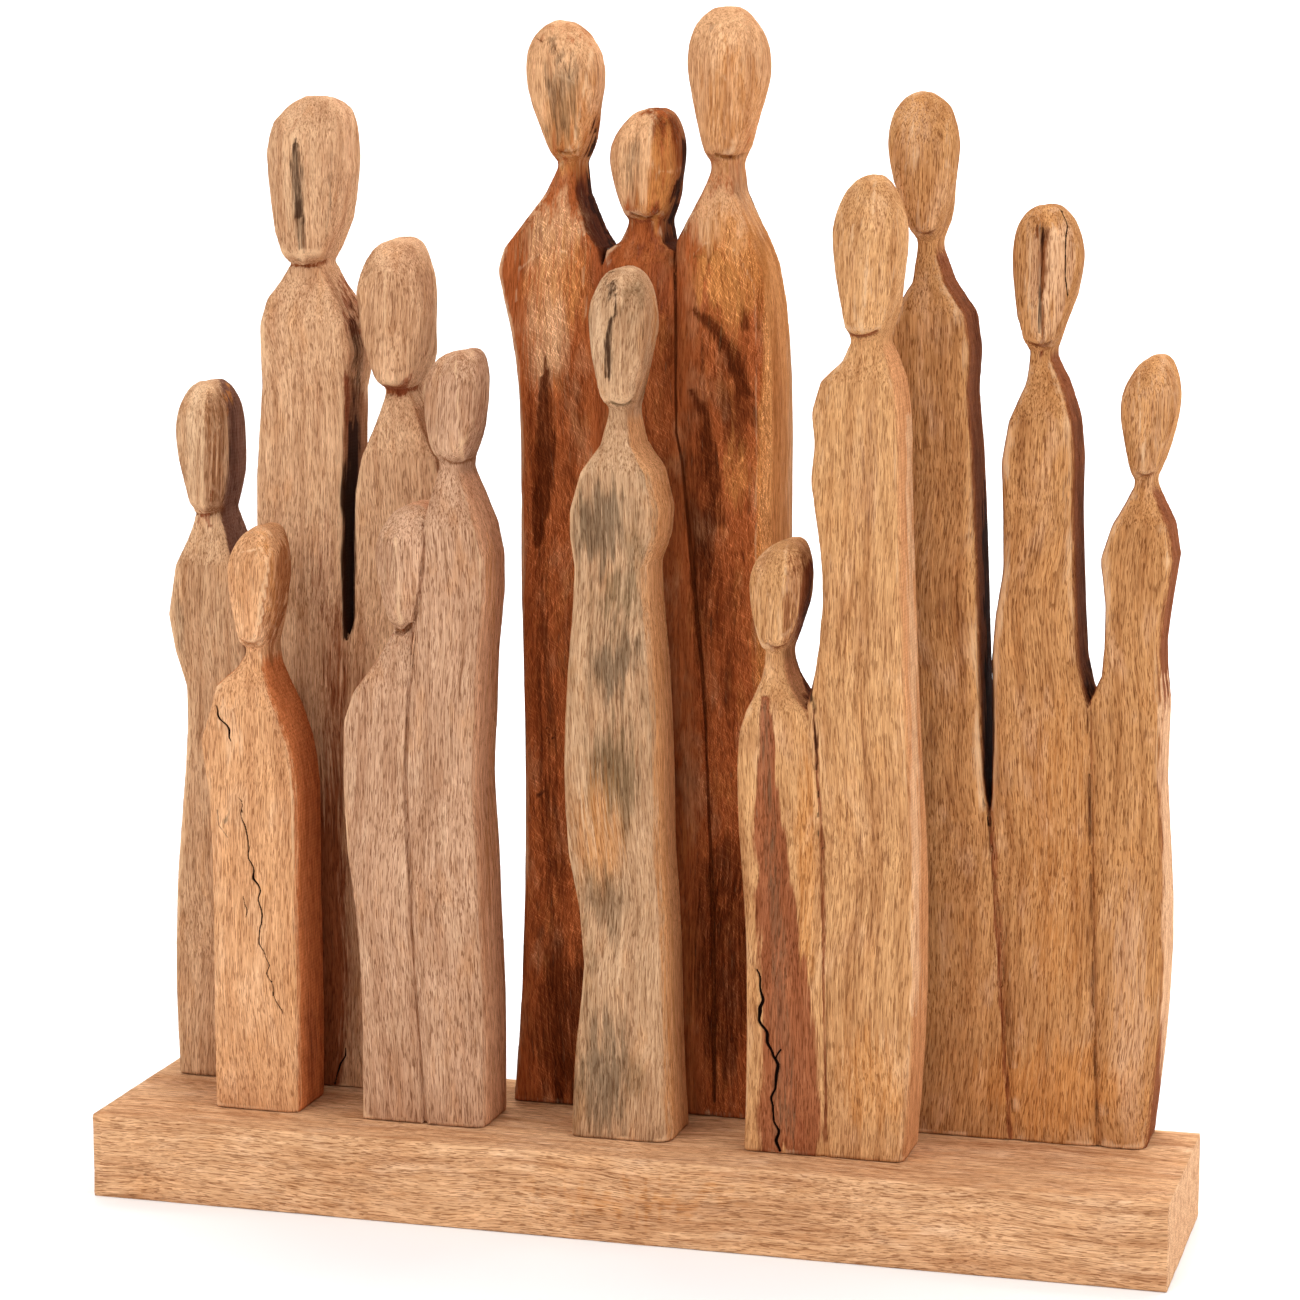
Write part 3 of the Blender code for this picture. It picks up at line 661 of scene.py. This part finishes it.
def neighbour_mean(values, edges):
    """The mean of each point's neighbours."""
    count = np.zeros(len(values))
    np.add.at(count, edges.ravel(), 1.0)
    total = np.zeros_like(values)
    np.add.at(total, edges[:, 0], values[edges[:, 1]])
    np.add.at(total, edges[:, 1], values[edges[:, 0]])
    return total / (count if values.ndim == 1 else count[:, None])


def arris_edges(mesh, edges):
    """Which edges of the mesh are arrises: their two faces meet at a clear angle."""
    normals = read_values(mesh.polygons, "normal", 3)
    sizes = read_values(mesh.polygons, "loop_total", 1, np.int64)
    edge_of = read_values(mesh.loops, "edge_index", 1, np.int64)
    face_of = np.repeat(np.arange(len(sizes)), sizes)
    order = np.argsort(edge_of, kind="stable")
    edge_of, face_of = edge_of[order], face_of[order]
    paired = np.flatnonzero(edge_of[1:] == edge_of[:-1])
    bend = (normals[face_of[paired]] * normals[face_of[paired + 1]]).sum(axis=1)
    clear = np.zeros(len(edges), bool)
    clear[edge_of[paired][bend < cos(ARRIS_ANGLE)]] = True
    return clear


def soften(points, edges, weight, rounds, arris=None):
    """Rounds the form by each point's weight from 0 to 1, without shrinking it. Points on an
    arris only move along it."""
    start = np.concatenate([edges[:, 0], edges[:, 1]])
    end = np.concatenate([edges[:, 1], edges[:, 0]])
    if arris is not None:
        on_arris = np.bincount(edges[arris].ravel(), minlength=len(points)) > 1
        used = np.concatenate([arris, arris]) | ~on_arris[start]
        start, end = start[used], end[used]
    count = np.maximum(np.bincount(start, minlength=len(points)), 1)[:, None]
    for share in (0.5, -0.52) * rounds:
        total = np.stack([np.bincount(start, points[end, axis], len(points))
                          for axis in range(3)], axis=1)
        points = points + (total / count - points) * share * weight[:, None]
    return points


def close_mesh(node, cell):
    """A copy of a CAD node's mesh, merged and meshed again in even squares."""
    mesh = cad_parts[node].data.copy()
    shape = bmesh.new()
    shape.from_mesh(mesh)
    bmesh.ops.remove_doubles(shape, verts=shape.verts, dist=0.00001)
    shape.to_mesh(mesh)
    shape.free()
    helper = bpy.data.objects.new(node + "_close", mesh)
    bpy.context.scene.collection.objects.link(helper)
    remesh = helper.modifiers.new("even squares", 'REMESH')
    remesh.mode = 'SHARP'
    remesh.octree_depth = OCTREE_DEPTH
    remesh.scale = max(helper.dimensions) / (cell * 2 ** OCTREE_DEPTH)
    remesh.use_remove_disconnected = False
    depsgraph = bpy.context.evaluated_depsgraph_get()
    result = bpy.data.meshes.new_from_object(helper.evaluated_get(depsgraph))
    bpy.data.objects.remove(helper, do_unlink=True)
    return result


def refine_lines(mesh, marks):
    """Finer squares along the cracks and cuts."""
    lines = [mark for mark in marks if mark.fine]
    if not lines:
        return
    for extra in FINE_MARGINS:
        points, normals, _ = read_mesh(mesh)
        place = Place(points, normals)
        near = np.zeros(len(points), bool)
        for mark in lines:
            wide = max(mark.widths)
            near |= (mark.reach(place) * wide < wide + extra) & (place.on[mark.on] > 0.2)
        shape = bmesh.new()
        shape.from_mesh(mesh)
        shape.verts.ensure_lookup_table()
        chosen = [e for e in shape.edges if near[e.verts[0].index] and near[e.verts[1].index]]
        if chosen:
            bmesh.ops.subdivide_edges(shape, edges=chosen, cuts=1, use_grid_fill=True)
        shape.to_mesh(mesh)
        shape.free()


def round_forms(mesh, marks, carving):
    """Rounds a plank's outline, its body a little and its heads more."""
    points, normals, edges = read_mesh(mesh)
    place = Place(points, normals)
    head = np.zeros(len(points))
    for mark in marks:
        if mark.layer == "facet":
            head = np.maximum(head, mark.cover(place))
    whole = np.ones(len(points))
    points = soften(points, edges, whole, carving.outline_rounds, arris_edges(mesh, edges))
    points = soften(points, edges, whole, carving.body_rounds)
    points = soften(points, edges, head, carving.head_rounds)
    mesh.vertices.foreach_set("co", points.ravel())
    mesh.update()


def find_bulge(points, normals, edges):
    """How far each point stands out from those around it, in mm: arrises do, and crevices lie
    behind them."""
    around = points
    for _ in range(3):
        around = neighbour_mean(around, edges)
    bulge = ((points - around) * normals).sum(axis=1) / MM
    for _ in range(2):
        bulge = neighbour_mean(bulge, edges)
    return bulge


def paint(layers, name, cover, strength=1.0):
    """Adds a cover to a layer, which stays within 1."""
    layers[name] += (1 - layers[name]) * cover * strength


def paint_marks(marks, place, layers, carving):
    """Paints the marks in their layers. Returns how deep they are cut in."""
    cuts = np.zeros(len(place.u))
    for mark in marks:
        cover = mark.cover(place)
        paint(layers, mark.layer, cover, mark.strength)
        cuts += cover * mark.depth
        if mark.layer == "facet":
            crease = mark.crease(place)
            rise, line, right = mark.tent(place)
            cuts += crease * carving.chin_depth - rise * mark.ridge_height
            # Painted shadow in the cut under the chin and painted shade on the right facet; painted
            # highlight along the ridge
            paint(layers, "dark", np.maximum(crease * CHIN_SHADE, right))
            paint(layers, "pale", line, RIDGE_HIGHLIGHT)
    return cuts


def sawn_sides(normals, board):
    """Where the surface is a sawn side: round a plank, or at the two ends of the board."""
    side = smooth_step(0.5, 0.2, np.abs(normals[:, 2 if board else 1]))
    return side * smooth_step(0.7, 0.9, np.abs(normals[:, 0])) if board else side


def carve_relief(mesh, wood, carving):
    """Moves the marks, knife cuts, saw marks and worn arrises into the surface, and keeps the
    layers for the material, among them painted shade in crevices and a painted highlight on arrises."""
    board = wood.grain == "x"
    if not board:
        round_forms(mesh, wood.marks, carving)
    refine_lines(mesh, wood.marks)
    points, normals, edges = read_mesh(mesh)
    bulge = find_bulge(points, normals, edges)
    arris = smooth_step(*ARRIS_EDGE, bulge)
    wear = lattice_noise(points, WEAR_CELL, WEAR_SEED)
    layers = {name: np.zeros(len(points)) for name in LAYERS}
    # Paler bare wood on worn arrises, partly a painted highlight along them
    layers["pale"] = arris * smooth_step(0.25, 0.8, wear) * carving.worn_edges_and_highlight
    layers["pale"] *= BOARD_PALE if board else 1.0
    # Painted shade in crevices: darker where the surface lies behind the points around it
    layers["dark"] = smooth_step(*CREVICE_EDGE, -bulge) * CREVICE_SHADE
    cuts = paint_marks(wood.marks, Place(points, normals), layers, carving)
    side = sawn_sides(normals, board) * (1 - layers["facet"])
    layers["pale"] *= 1 - SAWN_PALE * side
    paint(layers, "sawn", side)

    bowl, ridge, tone = knife_cuts(points, SCOOP_CELLS[wood.grain], SCOOP_SEED)
    lift = (bowl - SCOOP_LEVEL) * (carving.scoop_depth + layers["facet"] * carving.facet_depth)
    lift *= 1 - side
    # Painted highlight on the ridges between the knife scoops of the heads
    paint(layers, "pale", ridge * layers["facet"], SCOOP_RIDGE_HIGHLIGHT)
    layers["tone"] = 0.5 + (tone - 0.5) * (0.35 + 0.65 * layers["facet"])
    waves = lattice_noise(points, wood.along_grain(*WAVE_SIZE), WAVE_SEED)
    fibres = lattice_noise(points, wood.along_grain(*FIBRE_SIZE), FIBRE_SEED)
    lift += (waves - 0.5) * carving.knife_depth + (fibres - 0.5) * carving.fibre_depth
    saw = np.sin(points[:, "xyz".index(wood.grain)] * 2 * pi / carving.saw_pitch
                 + 5 * lattice_noise(points, SAW_CELL, SAW_SEED))
    lift += saw * side * carving.saw_depth * wood.saw
    lift -= arris * carving.arris_wear * (0.4 + 0.6 * wear) + cuts
    points = points + normals * lift[:, None]
    mesh.vertices.foreach_set("co", points.ravel())
    for name, values in layers.items():
        layer = mesh.attributes.new(name, 'FLOAT', 'POINT')
        layer.data.foreach_set("value", np.clip(values, 0, 1).astype(np.float32))
    mesh.update()


def add_node(tree, kind, inputs=None, **settings):
    """Adds a node with its settings. An input is a value or another node's output."""
    node = tree.nodes.new(kind)
    for name, value in settings.items():
        setattr(node, name, value)
    for name, value in (inputs or {}).items():
        if isinstance(value, bpy.types.NodeSocket):
            tree.links.new(value, node.inputs[name])
        else:
            node.inputs[name].default_value = value
    return node


def mango_wood(name, wood, look):
    """Mango wood, sawn and knife-carved, then oiled thinly: satin faces with short dark
    pores along the grain, broad streaks, matt saw-cut sides and paler worn arrises that also
    carry a painted highlight, with painted shade in crevices, slots and under chins."""
    material = bpy.data.materials.new(name)
    material.use_nodes = True
    tree = material.node_tree
    tree.nodes.clear()

    def grain_pattern(vector, across, length, detail, rough=0.5):
        """A pattern so wide and long, in mm, along the grain."""
        scales = wood.along_grain(1 / (across * MM), 1 / (length * MM))
        spread = add_node(tree, "ShaderNodeMapping", {"Vector": vector, "Scale": scales})
        return add_node(tree, "ShaderNodeTexNoise", {"Vector": spread.outputs[0], "Scale": 1.0,
                        "Detail": detail, "Roughness": rough}).outputs["Fac"]

    def lay_on(under, over, pattern, low, high, most=1.0, blend='MIX'):
        """Lays a colour on another as a pattern goes from low to high, at most so strongly."""
        amount = add_node(tree, "ShaderNodeMapRange", {
            "Value": pattern, "From Min": low, "From Max": high, "To Max": most},
            interpolation_type='SMOOTHSTEP').outputs[0]
        return add_node(tree, "ShaderNodeMix", {0: amount, 6: under, 7: over},
                        data_type='RGBA', blend_type=blend).outputs[2]

    def stain(under, shares, pattern, low, high, most=1.0):
        """Multiplies a colour by shares of red, green and blue, in the same way."""
        return lay_on(under, (*shares, 1.0), pattern, low, high, most, 'MULTIPLY')

    place = add_node(tree, "ShaderNodeTexCoord").outputs["Object"]
    drift = add_node(tree, "ShaderNodeTexNoise", {
        "Vector": place, "Scale": 1 / (WANDER_LENGTH * MM), "Detail": 1.0})
    bend = add_node(tree, "ShaderNodeVectorMath", {
        0: drift.outputs["Color"], 1: (0.5, 0.5, 0.5)}, operation='SUBTRACT')
    bend = add_node(tree, "ShaderNodeVectorMath", {
        0: bend.outputs[0], "Scale": look.grain_bend}, operation='SCALE')
    bent = add_node(tree, "ShaderNodeVectorMath", {0: place, 1: bend.outputs[0]},
                    operation='ADD').outputs[0]
    grain = {kind: grain_pattern(bent, *sizes) for kind, sizes in GRAIN.items()}
    fibres, threads = grain["fibres"], grain["threads"]

    # The painted marks, with edges that the fibres fray
    ragged = add_node(tree, "ShaderNodeMath", {0: fibres, 1: 0.5}, operation='SUBTRACT')
    marks = {}
    for layer in LAYERS:
        marks[layer] = add_node(tree, "ShaderNodeAttribute", attribute_name=layer).outputs["Fac"]
        if layer not in ("tone", "crack", "facet"):
            marks[layer] = add_node(tree, "ShaderNodeMath", {
                0: ragged.outputs[0], 1: FRAY, 2: marks[layer]},
                operation='MULTIPLY_ADD').outputs[0]

    # The bare wood and its drifts, the saw-cut sides, then the painted marks, painted shade and light
    # among them
    dark, light, golden = [grain_pattern(bent, *size, 3.0, 0.6) for size in DRIFTS]
    colour = linear(wood.face)
    for code, pattern, span, most in (
            (wood.dark, dark, DRIFT_SPAN, wood.mottle),
            (wood.light, light, DRIFT_SPAN, 0.5 - 0.35 * wood.mottle),
            (GOLDEN, golden, DRIFT_SPAN, 0.2), (wood.side, marks["sawn"], MARK_SPAN, 0.92),
            (wood.light, marks["light"], MARK_SPAN, 0.95),
            (wood.dark, marks["dark"], MARK_SPAN, 0.95),
            (GOLDEN, marks["gold"], MARK_SPAN, 0.75), (RUST_RED, marks["rust"], MARK_SPAN, 0.85),
            (WEATHER_GREY, marks["grey"], MARK_SPAN, 0.8)):
        colour = lay_on(colour, linear(code), pattern, *span, most)

    # Streaks, fibres, threads and the cuts' own tones, dark and light, then the pores
    for shares, pattern, low, high, most in (
            (STREAK_SHARE, grain["streaks"], 0.42, 0.72, wood.streaks),
            (FIBRE_SHARE, fibres, 0.5, 0.7, wood.streaks), (LIGHT_SHARE, fibres, 0.5, 0.36, 1.0),
            (FIBRE_SHARE, threads, 0.5, 0.62, 0.9), (LIGHT_SHARE, threads, 0.46, 0.36, 0.7),
            (FIBRE_SHARE, marks["tone"], 0.45, 0.0, 0.35),
            (LIGHT_SHARE, marks["tone"], 0.55, 1.0, 0.6),
            (PORE_SHARE, grain["pores"], *PORE_SPAN, wood.pores)):
        colour = stain(colour, shares, pattern, low, high, most)

    saw_wave = add_node(tree, "ShaderNodeTexWave", {
        "Vector": place, "Scale": WAVE_PERIOD / SAW_LINE_PITCH, "Distortion": 2.5, "Detail": 2.0,
        "Detail Scale": 0.6}, bands_direction=wood.grain.upper())
    saw_lines = add_node(tree, "ShaderNodeMath", {0: saw_wave.outputs["Fac"], 1: wood.saw},
                         operation='MULTIPLY').outputs[0]
    colour = stain(colour, SAW_SHARE, marks["sawn"], *MARK_SPAN, saw_lines)

    # Scraper scratches, leaning three ways across the grain, and darker gouge cuts
    scraped = add_node(tree, "ShaderNodeMapRange", {
        "Value": marks["knife"], "From Min": MARK_SPAN[0], "From Max": MARK_SPAN[1],
        "To Max": 0.8}, interpolation_type='SMOOTHSTEP').outputs[0]
    for turn, low, high, shares in STROKES:
        lean = add_node(tree, "ShaderNodeVectorRotate", {
            "Vector": bent, "Angle": look.knife_lean * turn}, rotation_type='Y_AXIS')
        strokes = grain_pattern(lean.outputs[0], *STROKE_SIZE, 1.0)
        colour = stain(colour, shares, strokes, low, high, scraped)
    # Paler bare wood with a painted highlight on arrises and ridges, near-black char that is painted
    # shade in the slots, then the cracks
    colour = lay_on(colour, linear(BARE_WOOD_AND_HIGHLIGHT), marks["pale"], *MARK_SPAN, 0.55)
    colour = lay_on(colour, linear(CHAR_AND_SHADE), marks["char_and_shade"], *MARK_SPAN, 0.93)
    colour = lay_on(colour, linear(CRACK_DARK), marks["crack"], 0.2, 0.7)

    # Raised fibres, sunk pores and saw lines, and how rough the fibres and pores are
    pores = add_node(tree, "ShaderNodeMapRange", {
        "Value": grain["pores"], "From Min": PORE_SPAN[0], "From Max": PORE_SPAN[1]},
        interpolation_type='SMOOTHSTEP').outputs[0]
    sawing = add_node(tree, "ShaderNodeMapRange", {
        "Value": marks["sawn"], "From Min": MARK_SPAN[0], "From Max": MARK_SPAN[1],
        "To Max": saw_lines}, interpolation_type='SMOOTHSTEP').outputs[0]
    height = add_node(tree, "ShaderNodeMath", {0: fibres, 1: threads}, operation='ADD')
    height = add_node(tree, "ShaderNodeMath", {0: pores, 1: -0.8, 2: height.outputs[0]},
                      operation='MULTIPLY_ADD')
    height = add_node(tree, "ShaderNodeMath", {0: sawing, 1: height.outputs[0]}, operation='ADD')
    bump = add_node(tree, "ShaderNodeBump", {
        "Height": height.outputs[0], "Strength": look.bump, "Distance": 0.35 * MM})
    rough = add_node(tree, "ShaderNodeMath", {0: fibres, 1: 0.12, 2: 0.64},
                     operation='MULTIPLY_ADD')
    rough = add_node(tree, "ShaderNodeMath", {0: pores, 1: 0.1, 2: rough.outputs[0]},
                     operation='MULTIPLY_ADD')
    shader = add_node(tree, "ShaderNodeBsdfPrincipled", {
        "Base Color": colour, "Roughness": rough.outputs[0], "Normal": bump.outputs[0], "IOR": 1.45,
        "Metallic": 0.0, "Specular IOR Level": 0.005})
    add_node(tree, "ShaderNodeOutputMaterial", {"Surface": shader.outputs[0]})
    return material


def finish_piece(node):
    """Carves and finishes the piece that stands for one CAD node."""
    scene = bpy.context.scene
    wood = WOODS[node]
    mesh = close_mesh(node, wood.cell * MM)
    mesh.name = node + "_carved"
    carve_relief(mesh, wood, scene.figure_carving)
    mesh.materials.clear()
    mesh.materials.append(mango_wood("mango wood, " + node.replace("_", " "), wood,
                                     scene.figure_finish))
    mesh.shade_smooth()
    piece = bpy.data.objects.new(node + "_carved", mesh)
    scene.collection.objects.link(piece)
    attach(piece, "root")
    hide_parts(node)


class FigureCarving(bpy.types.PropertyGroup):
    """Sizes of the carved relief"""
    knife_depth: FloatProperty(
        name="Knife depth", description="How far the hand-cut faces wave", default=0.22 * MM,
        unit='LENGTH')
    fibre_depth: FloatProperty(
        name="Fibre depth", description="Relief of the raised grain", default=0.16 * MM, unit='LENGTH')
    saw_depth: FloatProperty(
        name="Saw mark depth", description="Depth of marks on sawn sides", default=0.09 * MM,
        unit='LENGTH')
    saw_pitch: FloatProperty(
        name="Saw mark pitch", description="Distance between saw marks", default=4.2 * MM, unit='LENGTH')
    outline_rounds: IntProperty(
        name="Outline rounding", description="How smooth outlines run", default=24)
    body_rounds: IntProperty(
        name="Body rounding", description="How worn the bodies' arrises are", default=1)
    head_rounds: IntProperty(
        name="Head rounding", description="How far the heads are rounded", default=30)
    chin_depth: FloatProperty(
        name="Chin depth", description="Depth of the cut under a chin", default=0.9 * MM, unit='LENGTH')
    scoop_depth: FloatProperty(
        name="Scoop depth", description="Hollow of knife cuts on the bodies", default=0.3 * MM,
        unit='LENGTH')
    facet_depth: FloatProperty(
        name="Facet depth", description="Hollow of knife cuts on the heads", default=1.3 * MM,
        unit='LENGTH')
    arris_wear: FloatProperty(
        name="Arris wear", description="How far sharp edges are worn down", default=0.30 * MM,
        unit='LENGTH')
    # Bare wood on worn arrises together with their painted highlight
    worn_edges_and_highlight: FloatProperty(
        name="Worn edges", description="How much bare wood shows on arrises", default=0.75,
        subtype='FACTOR')


class FigureFinish(bpy.types.PropertyGroup):
    """Finish of the wood"""
    grain_bend: FloatProperty(
        name="Grain bend", description="How far the grain wanders", default=16 * MM, unit='LENGTH')
    knife_lean: FloatProperty(
        name="Knife lean", description="Slant of the knife strokes", default=radians(32), subtype='ANGLE')
    bump: FloatProperty(
        name="Grain relief", description="Strength of the fine grain relief", default=0.55,
        subtype='FACTOR')


class FigureStage(bpy.types.PropertyGroup):
    """Floor, light and camera"""
    floor: FloatVectorProperty(
        name="Floor", description="Colour of the floor and backdrop", default=(0.9, 0.9, 0.9),
        subtype='COLOR')
    key_power: FloatProperty(
        name="Key light", description="Power of the main light", default=16.0, unit='POWER')
    surround: FloatProperty(name="Surround", description="Strength of the white surround", default=0.9)


class FIGURES_OT_board(bpy.types.Operator):
    """Finish the board that the figures stand on"""
    bl_idname = "figures.board"
    bl_label = "Board"

    def execute(self, context):
        finish_piece("base_board")
        return {'FINISHED'}


class FIGURES_OT_singles(bpy.types.Operator):
    """Carve the three single figures"""
    bl_idname = "figures.singles"
    bl_label = "Single figures"

    def execute(self, context):
        for node in ("back_left_single", "front_left_single", "front_centre_single"):
            finish_piece(node)
        return {'FINISHED'}


class FIGURES_OT_pairs(bpy.types.Operator):
    """Carve the three planks of two figures"""
    bl_idname = "figures.pairs"
    bl_label = "Pairs"

    def execute(self, context):
        for node in ("back_left_pair", "front_left_pair", "front_right_pair"):
            finish_piece(node)
        return {'FINISHED'}


class FIGURES_OT_trios(bpy.types.Operator):
    """Carve the two planks of three figures"""
    bl_idname = "figures.trios"
    bl_label = "Trios"

    def execute(self, context):
        for node in ("back_centre_trio", "back_right_trio"):
            finish_piece(node)
        return {'FINISHED'}


def soft_light(name, place, target, size, power):
    """A square lamp of one side, turned to its target."""
    lamp = bpy.data.lights.new(name, 'AREA')
    lamp.shape = 'SQUARE'
    lamp.size = size
    lamp.energy = power
    item = bpy.data.objects.new(name, lamp)
    item.location = place
    item.rotation_euler = (Vector(place) - Vector(target)).to_track_quat('Z', 'Y').to_euler()
    bpy.context.scene.collection.objects.link(item)


def paper_sweep(side, front, wall, height, bend, steps=12):
    """A mesh that runs back from its front edge and bends up to a wall."""
    shape = bmesh.new()
    profile = [shape.verts.new((-side, front, 0.0)), shape.verts.new((-side, wall - bend, 0.0))]
    for k in range(1, steps + 1):
        turn = k / steps * pi / 2
        profile.append(shape.verts.new((-side, wall - bend + bend * sin(turn),
                                        bend - bend * cos(turn))))
    profile.append(shape.verts.new((-side, wall, height)))
    line = [shape.edges.new(pair) for pair in zip(profile, profile[1:])]
    sweep = bmesh.ops.extrude_edge_only(shape, edges=line)
    moved = [item for item in sweep["geom"] if isinstance(item, bmesh.types.BMVert)]
    bmesh.ops.translate(shape, verts=moved, vec=(2 * side, 0.0, 0.0))
    bmesh.ops.recalc_face_normals(shape, faces=shape.faces)
    mesh = bpy.data.meshes.new("pale_floor")
    shape.to_mesh(mesh)
    shape.free()
    mesh.shade_smooth()
    return mesh


def backdrop_paper(tint):
    """Matt white paper: it spreads the light evenly and shows no gloss."""
    material = bpy.data.materials.new("white paper backdrop")
    material.use_nodes = True
    shader = material.node_tree.nodes["Principled BSDF"]
    shader.inputs["Base Color"].default_value = (*tint, 1.0)
    shader.inputs["Roughness"].default_value = 0.9
    return material


class FIGURES_OT_stage(bpy.types.Operator):
    """Set out the pale floor, the soft light and the camera"""
    bl_idname = "figures.stage"
    bl_label = "Stage"

    def execute(self, context):
        scene = context.scene
        stage = scene.figure_stage
        mesh = paper_sweep(side=8.0, front=-6.0, wall=3.0, height=6.0, bend=1.2)
        mesh.materials.append(backdrop_paper(stage.floor))
        floor = bpy.data.objects.new("pale_floor", mesh)
        scene.collection.objects.link(floor)

        world = bpy.data.worlds.new("white surround")
        world.use_nodes = True
        surround = world.node_tree.nodes["Background"]
        surround.inputs["Color"].default_value = (1.0, 1.0, 1.0, 1.0)
        surround.inputs["Strength"].default_value = stage.surround
        scene.world = world
        for name, (place, target, size, share) in LIGHTS.items():
            soft_light(name, place, target, size, stage.key_power * share)

        eye, _, _, back = camera_axes()
        lens = bpy.data.cameras.new("photograph")
        lens.lens = CAMERA_LENS
        lens.sensor_width = CAMERA_SENSOR
        lens.clip_end = 50
        camera = bpy.data.objects.new("photograph", lens)
        camera.location = eye
        camera.rotation_euler = Vector(back).to_track_quat('Z', 'Y').to_euler()
        scene.collection.objects.link(camera)
        scene.camera = camera
        scene.view_settings.view_transform = 'Standard'
        return {'FINISHED'}


class FIGURES_PT_carving(bpy.types.Panel):
    """Panel with the steps and their settings"""
    bl_label = "Carved Figure Group"
    bl_space_type = 'VIEW_3D'
    bl_region_type = 'UI'
    bl_category = "Carving"

    def draw(self, context):
        layout = self.layout
        for settings in (context.scene.figure_carving, context.scene.figure_finish,
                         context.scene.figure_stage):
            box = layout.box()
            for name in settings.__annotations__:
                box.prop(settings, name)
        for operator in OPERATORS:
            layout.operator(operator.bl_idname)


OPERATORS = (FIGURES_OT_board, FIGURES_OT_singles, FIGURES_OT_pairs, FIGURES_OT_trios,
             FIGURES_OT_stage)
SETTINGS = {"figure_carving": FigureCarving, "figure_finish": FigureFinish,
            "figure_stage": FigureStage}


def register():
    for item in (*SETTINGS.values(), *OPERATORS, FIGURES_PT_carving):
        bpy.utils.register_class(item)
    for name, group in SETTINGS.items():
        setattr(bpy.types.Scene, name, PointerProperty(type=group))


def unregister():
    for name in SETTINGS:
        delattr(bpy.types.Scene, name)
    for item in (FIGURES_PT_carving, *reversed(OPERATORS), *SETTINGS.values()):
        bpy.utils.unregister_class(item)


def main():
    register()
    bpy.ops.figures.board()
    bpy.ops.figures.singles()
    bpy.ops.figures.pairs()
    bpy.ops.figures.trios()
    bpy.ops.figures.stage()


if __name__ == "__main__":
    main()
